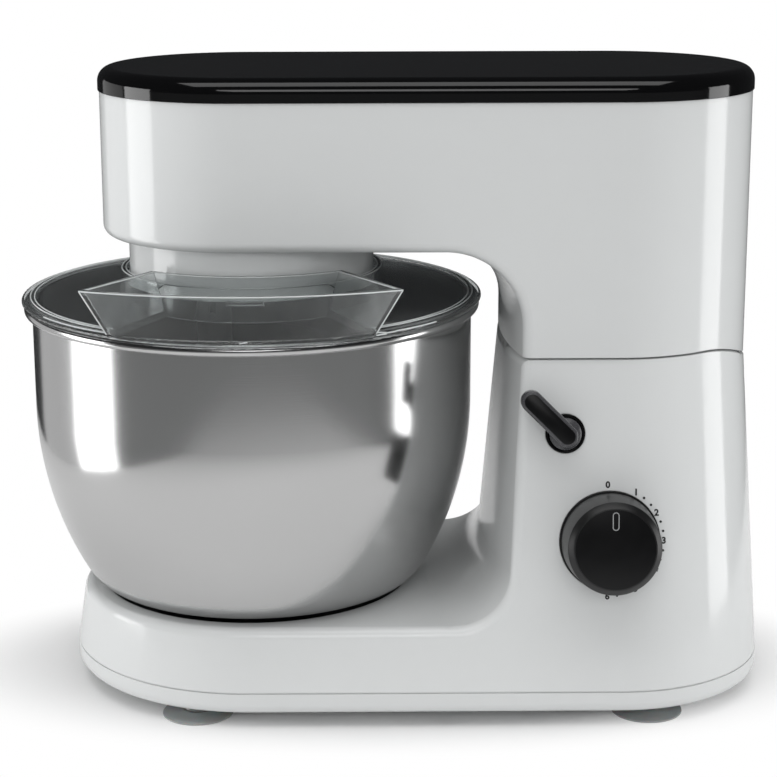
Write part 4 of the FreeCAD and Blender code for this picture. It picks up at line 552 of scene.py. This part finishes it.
@dataclass
class SpeedKnob:
    """Knob with a chamfered face, its dish in the wall and the printed dial. Millimetres."""

    base_radius: float = 23.6
    face_radius: float = 19.6
    rim: float = 3.0
    chamfer: float = 2.8
    gap: float = 1.2
    height: float = 25.0
    dish_radius: float = 24.5
    face_margin: float = 0.5
    pointer_length: float = 5.6
    pointer_half: float = 1.6
    pointer_line: float = 0.45
    dial_radius: float = 27.3
    dial_shift: float = -1.1
    letter: float = 4.4
    stroke: float = 0.17
    dot: float = 0.62
    steps: int = 6
    sweep: float = 180.0
    corner: float = 0.35
    inlay: float = 0.3
    proud: float = 0.06
    inlay_corner: float = 0.05
    dish_floor: float = 0.2
    dish_top: float = 0.75
    dish_depth: float = 3.0
    dish_lip: float = 1.4
    dish_corner: float = 0.2
    pointer_height: float = 0.15
    pointer_margin: float = 1.6
    ink: float = 0.03
    ink_gap: float = 0.02
    facets: int = 144
    dish_facets: int = 128
    dot_facets: int = 20

    def build(self) -> None:
        """Make knob, pointer, dish and dial on the near wall."""
        place = wall_frame("knob_turn")
        top = self.gap + self.height
        shoulder = self.face_radius + self.chamfer
        knob = turned([(0, self.gap), (self.base_radius, self.gap), (self.base_radius, self.gap + self.rim),
                       (shoulder, top - self.chamfer), (self.face_radius, top), (0, top)],
                      self.facets, self.corner)
        self._put(knob, place, "knob_body", "knob", BLACK_SATIN, ["speed_knob"])
        # The face disc is a darker, less shiny copy of the knob's black: painted shade on the knob's face.
        rim = self.face_radius - self.face_margin
        face_low, face_high = top - self.inlay, top + self.proud
        face = turned([(0, face_low), (rim, face_low), (rim, face_high), (0, face_high)],
                      self.facets, self.inlay_corner)
        self._put(face, place, "knob_face", "knob", PAINTED_SHADE_BLACK)
        self._pointer(place, top)
        well = self.dish_radius - self.dish_lip
        dish = turned([(0, self.dish_floor), (well, self.dish_floor), (well, self.dish_top),
                       (self.dish_radius, self.dish_top), (self.dish_radius, -self.dish_depth),
                       (0, -self.dish_depth)], self.dish_facets, self.dish_corner)
        self._put(dish, place, "knob_dish", "base", BLACK_SATIN, ["knob_bezel"])
        self._dial(place)

    def _put(self, bm: bmesh.types.BMesh, place: Matrix, name: str, body: str, finish: Finish,
             stands_for: Sequence[str] = ()) -> None:
        """Set a mesh made about the knob's axis into the wall.

        Args:
            bm: Mesh about the origin, standing along +Z.
            place: Matrix from the wall to the frame.
            name: Name of the piece.
            body: Body it moves with.
            finish: Its finish.
            stands_for: CAD nodes that it is shown in place of.
        """
        bmesh.ops.transform(bm, matrix=place, verts=bm.verts)
        piece(name, bm, body, finish, stands_for)

    def _pointer(self, place: Matrix, top: float) -> None:
        """Thin raised outline that shows the knob's setting.

        Args:
            place: Matrix from the wall to the frame.
            top: Height of the knob's face over the wall.
        """
        outline = stadium(self.pointer_length, self.pointer_half)
        bmesh.ops.inset_region(outline, faces=outline.faces[:], thickness=self.pointer_line * MM,
                               use_boundary=True, use_even_offset=True)
        inner = max(outline.faces, key=lambda f: len(f.verts))
        bmesh.ops.delete(outline, geom=[inner], context="FACES_ONLY")
        raise_face(outline, self.pointer_height)
        start = self.face_radius - self.pointer_length - self.pointer_half - self.pointer_margin
        bmesh.ops.translate(outline, verts=outline.verts, vec=(0, start * MM, top * MM))
        self._put(outline, place, "knob_pointer", "knob", PALE_INK)

    def _dial(self, place: Matrix) -> None:
        """Numbers round the knob, with two dots between them from 1 on.

        Args:
            place: Matrix from the wall to the frame.
        """
        marks = []
        for number in range(self.steps + 1):
            marks.append(self._numeral(str(number), self._spot(number)))
        for gap in range(1, self.steps):
            for third in (1, 2):
                dot = bmesh.new()
                bmesh.ops.create_circle(dot, cap_ends=True, segments=self.dot_facets, radius=self.dot * MM)
                raise_face(dot, self.ink)
                bmesh.ops.translate(dot, verts=dot.verts, vec=self._spot(gap + third / 3))
                marks.append(dot)
        self._put(merge(marks), place, "dial_print", "base", PRINT_INK)

    def _spot(self, setting: float) -> Vector:
        """Place of a setting on the dial's circle, clockwise from its top, just off the wall.

        Args:
            setting: Number on the dial, or a share between two.

        Returns:
            The place on the wall, in metres.
        """
        turn = math.radians(self.sweep * setting / self.steps)
        round_axis = Vector((math.sin(turn), math.cos(turn), 0)) * self.dial_radius
        return (round_axis + Vector((self.dial_shift, 0, self.ink_gap))) * MM

    def _numeral(self, text: str, spot: Vector) -> bmesh.types.BMesh:
        """One upright number as a thin flat mesh, centred on a spot.

        Args:
            text: The number.
            spot: Its place on the wall, in metres.

        Returns:
            The mesh on the wall.
        """
        curve = bpy.data.curves.new("numeral", "FONT")
        curve.body = text
        curve.size = self.letter * MM
        curve.align_x = "CENTER"
        curve.align_y = "CENTER"
        curve.offset = self.stroke * MM
        curve.extrude = self.ink / 2 * MM
        curve.resolution_u = 4
        bm = curve_mesh(curve)
        bmesh.ops.remove_doubles(bm, verts=bm.verts, dist=WELD)
        bmesh.ops.dissolve_degenerate(bm, edges=bm.edges, dist=WELD)
        bmesh.ops.recalc_face_normals(bm, faces=bm.faces)
        bmesh.ops.translate(bm, verts=bm.verts, vec=spot + Vector((0, 0, self.ink / 2 * MM)))
        return bm


@dataclass
class ReleaseLever:
    """Lever that frees the head, on a domed boss in a black ring. Millimetres."""

    length: float = 23.6
    half_width: float = 5.25
    angle: float = 135.3
    stand: float = 4.5
    height: float = 9.0
    bevel: float = 1.5
    ring: float = 9.6
    ring_width: float = 1.3
    shaft: float = 4.6
    inlay: float = 0.3
    proud: float = 0.06
    inlay_corner: float = 0.05
    boss_gap: float = 0.5
    boss_low: float = 1.15
    boss_wall: float = 2.0
    dome_radius: float = 12.2
    dome_centre: float = -7.2
    dome_start: float = 51.0
    ring_top: float = 0.8
    ring_floor: float = 0.1
    ring_depth: float = 3.0
    ring_draft: float = 0.2
    ring_corner: float = 0.15
    facets: int = 96

    def build(self) -> None:
        """Make lever, boss and ring on the near wall."""
        place = wall_frame("lever_turn")
        turn = Matrix.Rotation(math.radians(self.angle - 90), 4, "Z")
        bar = stadium(self.length, self.half_width)
        raise_face(bar, self.height)
        soften(bar, self.bevel, 4)
        lift = Matrix.Translation((0, 0, self.stand * MM))
        bmesh.ops.transform(bar, matrix=place @ lift @ turn, verts=bar.verts)
        # The grip takes the lighter grey copy of the black satin: painted highlight on its bevels.
        piece("lever_grip", bar, "lever", PAINTED_HIGHLIGHT_GREY_SATIN, ["release_lever"])
        # The face disc takes the darker black copy: painted shade on the lever's face, set against the grip's
        # painted highlight.
        face = stadium(self.length, self.half_width - self.bevel)
        raise_face(face, self.inlay)
        soften(face, self.inlay_corner, 2)
        lift = Matrix.Translation((0, 0, (self.stand + self.height + self.proud - self.inlay) * MM))
        bmesh.ops.transform(face, matrix=place @ lift @ turn, verts=face.verts)
        piece("lever_face", face, "lever", PAINTED_SHADE_BLACK)
        well = self.ring - self.ring_width
        boss_radius = well - self.boss_gap
        dome = arc(0, self.dome_centre, self.dome_radius, self.dome_start, 90, 10)
        foot = [(0, self.boss_low), (boss_radius, self.boss_low), (boss_radius, self.boss_wall)]
        boss = turned(foot + dome, self.facets)
        bmesh.ops.transform(boss, matrix=place, verts=boss.verts)
        # The boss takes the lighter grey copy too: painted highlight on the dome.
        piece("lever_boss", boss, "lever", PAINTED_HIGHLIGHT_GREY_SATIN)
        ring = turned([(self.shaft, -self.ring_depth), (self.ring, -self.ring_depth),
                       (self.ring, self.ring_top), (well, self.ring_top),
                       (well - self.ring_draft, self.ring_floor), (self.shaft, self.ring_floor),
                       (self.shaft, -self.ring_depth)], self.facets, self.ring_corner)
        bmesh.ops.transform(ring, matrix=place, verts=ring.verts)
        piece("lever_ring", ring, "base", BLACK_GLOSS, ["lever_bezel"])


@dataclass
class SuctionFeet:
    """Four soft cups on bright studs. Millimetres."""

    radius: float = 17.6
    stud_radius: float = 7.0
    lip: float = 1.6
    crown: float = 2.6
    crown_width: float = 1.0
    play: float = 0.1
    # Skirt of a cup from its hollow outwards and up, as shares of the radius and heights
    skirt: tuple[Point, ...] = ((0.76, 1.0), (0.8, 0.02), (1.0, 0.02), (1.0, 0.8), (0.82, 1.3), (0.6, 2.0))
    # Groove of a stud under the base, as depths and heights from the base's underside
    groove: tuple[Point, ...] = ((0.0, -1.2), (0.5, -0.8), (0.5, -0.1), (0.0, 0.3))
    cup_corner: float = 0.3
    stud_corner: float = 0.2
    facets: int = 72
    spots: list[Point] = field(default_factory=list)

    def __post_init__(self) -> None:
        """Work out the four places from the CAD feet."""
        low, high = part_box("suction_feet")
        reach = self.radius
        xs = (low.x / MM + reach, high.x / MM - reach)
        ys = (low.y / MM + reach, high.y / MM - reach)
        self.spots = [(x, y) for x in xs for y in ys]

    def build(self) -> None:
        """Make cups and studs."""
        neck = self.stud_radius + self.play
        cup = [(0, self.skirt[0][1])] + [(share * self.radius, z) for share, z in self.skirt]
        cup += [(neck + self.crown_width, self.crown), (neck, self.crown), (neck, self.lip), (0, self.lip)]
        cups = self._four(cup, self.cup_corner)
        piece("suction_cups", cups, "base", SOFT_VINYL, ["suction_feet"])
        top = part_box("foot_studs")[1].z / MM
        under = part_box("base_plate")[0].z / MM
        low = self.lip + self.play
        stud = [(0, low), (self.stud_radius, low)]
        stud += [(self.stud_radius - depth, under + z) for depth, z in self.groove]
        stud += [(self.stud_radius, top), (0, top)]
        stems = self._four(stud, self.stud_corner)
        piece("foot_stems", stems, "base", PLATED_STEEL, ["foot_studs"])

    def _four(self, profile: Sequence[Point], corner: float) -> bmesh.types.BMesh:
        """Turn one profile and set it at all four places.

        Args:
            profile: Points as distance from the axis and height.
            corner: Rounding of the profile.

        Returns:
            The four forms in one mesh.
        """
        made = []
        for x, y in self.spots:
            bm = turned(profile, self.facets, corner)
            bmesh.ops.translate(bm, verts=bm.verts, vec=(x * MM, y * MM, 0))
            made.append(bm)
        return merge(made)


@dataclass
class Softbox:
    """A rectangular studio lamp. Metres; its glow is its brightness against white."""

    name: str
    place: tuple[float, float, float]
    target: tuple[float, float, float]
    width: float
    height: float
    glow: float

    def build(self) -> None:
        """Hang the lamp and aim it."""
        lamp = bpy.data.lights.new(self.name, "AREA")
        lamp.shape = "RECTANGLE"
        lamp.size = self.width
        lamp.size_y = self.height
        lamp.energy = self.glow * math.pi * self.width * self.height
        holder = bpy.data.objects.new(self.name, lamp)
        aim = Vector(self.target) - Vector(self.place)
        holder.rotation_euler = aim.to_track_quat("-Z", "Y").to_euler()
        holder.location = self.place
        holder.visible_camera = False
        bpy.context.scene.collection.objects.link(holder)


@dataclass
class Studio:
    """Floor, drape, lamps, sky and camera. Metres and degrees."""

    camera_place: tuple[float, float, float] = (-0.01066, -1.07064, 0.42113)
    yaw: float = 0.448
    pitch: float = 14.306
    roll: float = -0.146
    lens: float = 99.46
    sensor: float = 36.0
    table_length: float = 0.85
    table_width: float = 0.45
    table_white: Point = (0.17, 0.26)
    white_stretch: float = 2.0
    table_dark: Point = (0.34, 0.85)
    drape_radius: float = 2.4
    drape_low: float = -1.6
    drape_high: float = 1.7
    drape_forward: Point = (0.2, -1.4)
    drape_downward: Point = (0.5, -0.4)
    paper: tuple[str, str] = ("#f4f4f4", "#f9f9f9")
    paper_roughness: float = 0.7
    paper_grains: float = 900.0
    drape_front: str = "#8a8b8b"
    drape_back: str = "#2b2c2d"
    ambient: float = 0.52
    lamps: list[Softbox] = field(default_factory=lambda: [
        Softbox("left_softbox", (-1.2, -0.1, -0.05), (0, -0.1, -0.05), 0.56, 1.0, 3.8),
        Softbox("left_rear_softbox", (-1.15, 0.62, -0.05), (0, 0, -0.05), 0.8, 1.0, 0.6),
        Softbox("right_softbox", (1.25, -0.06, -0.05), (0, -0.06, -0.05), 0.46, 1.0, 3.4),
        Softbox("front_softbox", (0, -2.3, 1.15), (0, 0, 0.3), 1.5, 0.6, 2.7),
        Softbox("top_softbox", (0, -0.35, 1.65), (0, 0, 0), 1.8, 1.2, 1.9),
    ])

    def build(self) -> None:
        """Set up everything round the object."""
        for lamp in self.lamps:
            lamp.build()
        self._floor()
        self._drape()
        self._sky()
        self._camera()
        bpy.context.scene.view_settings.view_transform = "Standard"

    def _stage(self, name: str, bm: bmesh.types.BMesh, material: bpy.types.Material) -> bpy.types.Object:
        """Make a mesh part of the stage.

        Args:
            name: Name of the object.
            bm: Its mesh, which is freed.
            material: Its material.

        Returns:
            The new object.
        """
        mesh = bpy.data.meshes.new(name)
        bm.to_mesh(mesh)
        bm.free()
        mesh.materials.append(material)
        made = bpy.data.objects.new(name, mesh)
        bpy.context.scene.collection.objects.link(made)
        return made

    def _ramp(self, tree: bpy.types.NodeTree, value: bpy.types.NodeSocket,
              ends: Point) -> bpy.types.NodeSocket:
        """Add a soft step from 0 to 1 between two values.

        Args:
            tree: Node tree that takes the step.
            value: Socket that is read.
            ends: Values at which the step starts and ends.

        Returns:
            The step's socket.
        """
        step = add_node(
            tree, "ShaderNodeMapRange",
            {"interpolation_type": "SMOOTHSTEP", "From Min": ends[0], "From Max": ends[1]},
            {"Value": value})
        return step.outputs[0]

    def _floor(self) -> None:
        """Pale table top that fades into the white background away from the object."""
        bm = bmesh.new()
        bmesh.ops.create_circle(bm, cap_ends=True, segments=96, radius=1.0)
        bmesh.ops.scale(bm, verts=bm.verts, vec=(self.table_width, self.table_length, 1.0))
        made = bpy.data.materials.new("pale_table_paper")
        made.use_nodes = True
        tree = made.node_tree
        tree.nodes.clear()
        place = add_node(tree, "ShaderNodeTexCoord", {}, {}).outputs["Object"]
        far = add_node(tree, "ShaderNodeVectorMath", {"operation": "LENGTH"}, {0: place})
        oval = add_node(
            tree, "ShaderNodeMapping", {"Scale": (1.0, self.white_stretch, 1.0)}, {"Vector": place})
        away = add_node(tree, "ShaderNodeVectorMath", {"operation": "LENGTH"}, {0: oval.outputs[0]})
        fade = self._ramp(tree, away.outputs[1], self.table_white)
        dim = self._ramp(tree, far.outputs[1], self.table_dark)
        seen = add_node(tree, "ShaderNodeLightPath", {}, {})
        shown = add_node(
            tree, "ShaderNodeMath", {"operation": "MULTIPLY"},
            {0: fade, 1: seen.outputs["Is Camera Ray"]})
        grain = add_node(
            tree, "ShaderNodeTexNoise", {"Scale": self.paper_grains, "Detail": 2.0}, {"Vector": place})
        shades = [to_linear(shade) for shade in self.paper]
        tone = add_node(
            tree, "ShaderNodeMix", {"data_type": "RGBA", 6: shades[0], 7: shades[1]}, {0: grain.outputs[0]})
        edge = add_node(
            tree, "ShaderNodeMix", {"data_type": "RGBA", 7: to_linear(self.drape_front)},
            {0: dim, 6: tone.outputs[2]})
        paper = add_node(
            tree, "ShaderNodeBsdfPrincipled", {"Roughness": self.paper_roughness},
            {"Base Color": edge.outputs[2]})
        white = add_node(tree, "ShaderNodeEmission", {"Color": (1, 1, 1, 1)}, {})
        mixed = add_node(
            tree, "ShaderNodeMixShader", {},
            {0: shown.outputs[0], 1: paper.outputs[0], 2: white.outputs[0]})
        add_node(tree, "ShaderNodeOutputMaterial", {}, {"Surface": mixed.outputs[0]})
        self._stage("table_top", bm, made)

    def _drape(self) -> None:
        """Dark cloth round and under the table, which shows in reflections alone."""
        bm = bmesh.new()
        depth = self.drape_high - self.drape_low
        bmesh.ops.create_cone(bm, cap_ends=True, segments=96, radius1=self.drape_radius,
                              radius2=self.drape_radius, depth=depth)
        bmesh.ops.translate(bm, verts=bm.verts, vec=(0, 0, self.drape_low + depth / 2))
        made = bpy.data.materials.new("dark_studio_cloth")
        made.use_nodes = True
        tree = made.node_tree
        tree.nodes.clear()
        place = add_node(tree, "ShaderNodeTexCoord", {}, {}).outputs["Object"]
        split = add_node(tree, "ShaderNodeSeparateXYZ", {}, {"Vector": place})
        front = self._ramp(tree, split.outputs["Y"], self.drape_forward)
        low = self._ramp(tree, split.outputs["Z"], self.drape_downward)
        near = add_node(tree, "ShaderNodeMath", {"operation": "MULTIPLY"}, {0: front, 1: low})
        tone = add_node(
            tree, "ShaderNodeMix",
            {"data_type": "RGBA", 6: to_linear(self.drape_back), 7: to_linear(self.drape_front)},
            {0: near.outputs[0]})
        glow = add_node(tree, "ShaderNodeEmission", {}, {"Color": tone.outputs[2]})
        ray = add_node(tree, "ShaderNodeLightPath", {}, {})
        mirrored = add_node(
            tree, "ShaderNodeMath", {"operation": "MINIMUM", 1: 1.0}, {0: ray.outputs["Glossy Depth"]})
        clear = add_node(tree, "ShaderNodeBsdfTransparent", {}, {})
        cloth = add_node(
            tree, "ShaderNodeMixShader", {},
            {0: mirrored.outputs[0], 1: clear.outputs[0], 2: glow.outputs[0]})
        add_node(tree, "ShaderNodeOutputMaterial", {}, {"Surface": cloth.outputs[0]})
        drape = self._stage("studio_drape", bm, made)
        drape.visible_camera = False
        drape.visible_diffuse = False
        drape.visible_shadow = False

    def _sky(self) -> None:
        """White to the eye, in reflections and through glass; a lower level lights the object."""
        world = bpy.data.worlds.new("studio_sky")
        bpy.context.scene.world = world
        world.use_nodes = True
        tree = world.node_tree
        tree.nodes.clear()
        ray = add_node(tree, "ShaderNodeLightPath", {}, {})
        seen = add_node(
            tree, "ShaderNodeMath", {"operation": "MAXIMUM"},
            {0: ray.outputs["Is Camera Ray"], 1: ray.outputs["Is Glossy Ray"]})
        through = add_node(
            tree, "ShaderNodeMath", {"operation": "MAXIMUM"},
            {0: seen.outputs[0], 1: ray.outputs["Is Transmission Ray"]})
        level = add_node(
            tree, "ShaderNodeMapRange", {"To Min": self.ambient, "To Max": 1.0},
            {"Value": through.outputs[0]})
        sky = add_node(
            tree, "ShaderNodeBackground", {"Color": (1, 1, 1, 1)}, {"Strength": level.outputs[0]})
        add_node(tree, "ShaderNodeOutputWorld", {}, {"Surface": sky.outputs[0]})

    def _camera(self) -> None:
        """Camera at the photograph's place and angle."""
        yaw = math.radians(self.yaw)
        pitch = math.radians(self.pitch)
        roll = math.radians(self.roll)
        ahead = Vector((math.sin(yaw) * math.cos(pitch), math.cos(yaw) * math.cos(pitch), -math.sin(pitch)))
        level = Vector((math.cos(yaw), -math.sin(yaw), 0))
        above = level.cross(ahead)
        right = level * math.cos(roll) + above * math.sin(roll)
        up = above * math.cos(roll) - level * math.sin(roll)
        lens = bpy.data.cameras.new("photo_camera")
        lens.lens = self.lens
        lens.sensor_width = self.sensor
        holder = bpy.data.objects.new("photo_camera", lens)
        turn = Matrix((right, up, -ahead)).transposed().to_4x4()
        holder.matrix_world = Matrix.Translation(self.camera_place) @ turn
        bpy.context.scene.collection.objects.link(holder)
        bpy.context.scene.camera = holder


def main() -> None:
    """Dress the frame and build every piece in order."""
    logging.basicConfig(level=logging.INFO, format="%(message)s")
    dress_frame()
    makers: list[Callable[[], None]] = [
        Bowl().build, SplashGuard().build, SpeedKnob().build, ReleaseLever().build,
        SuctionFeet().build, Studio().build]
    for make in makers:
        make()


if __name__ == "__main__":
    main()
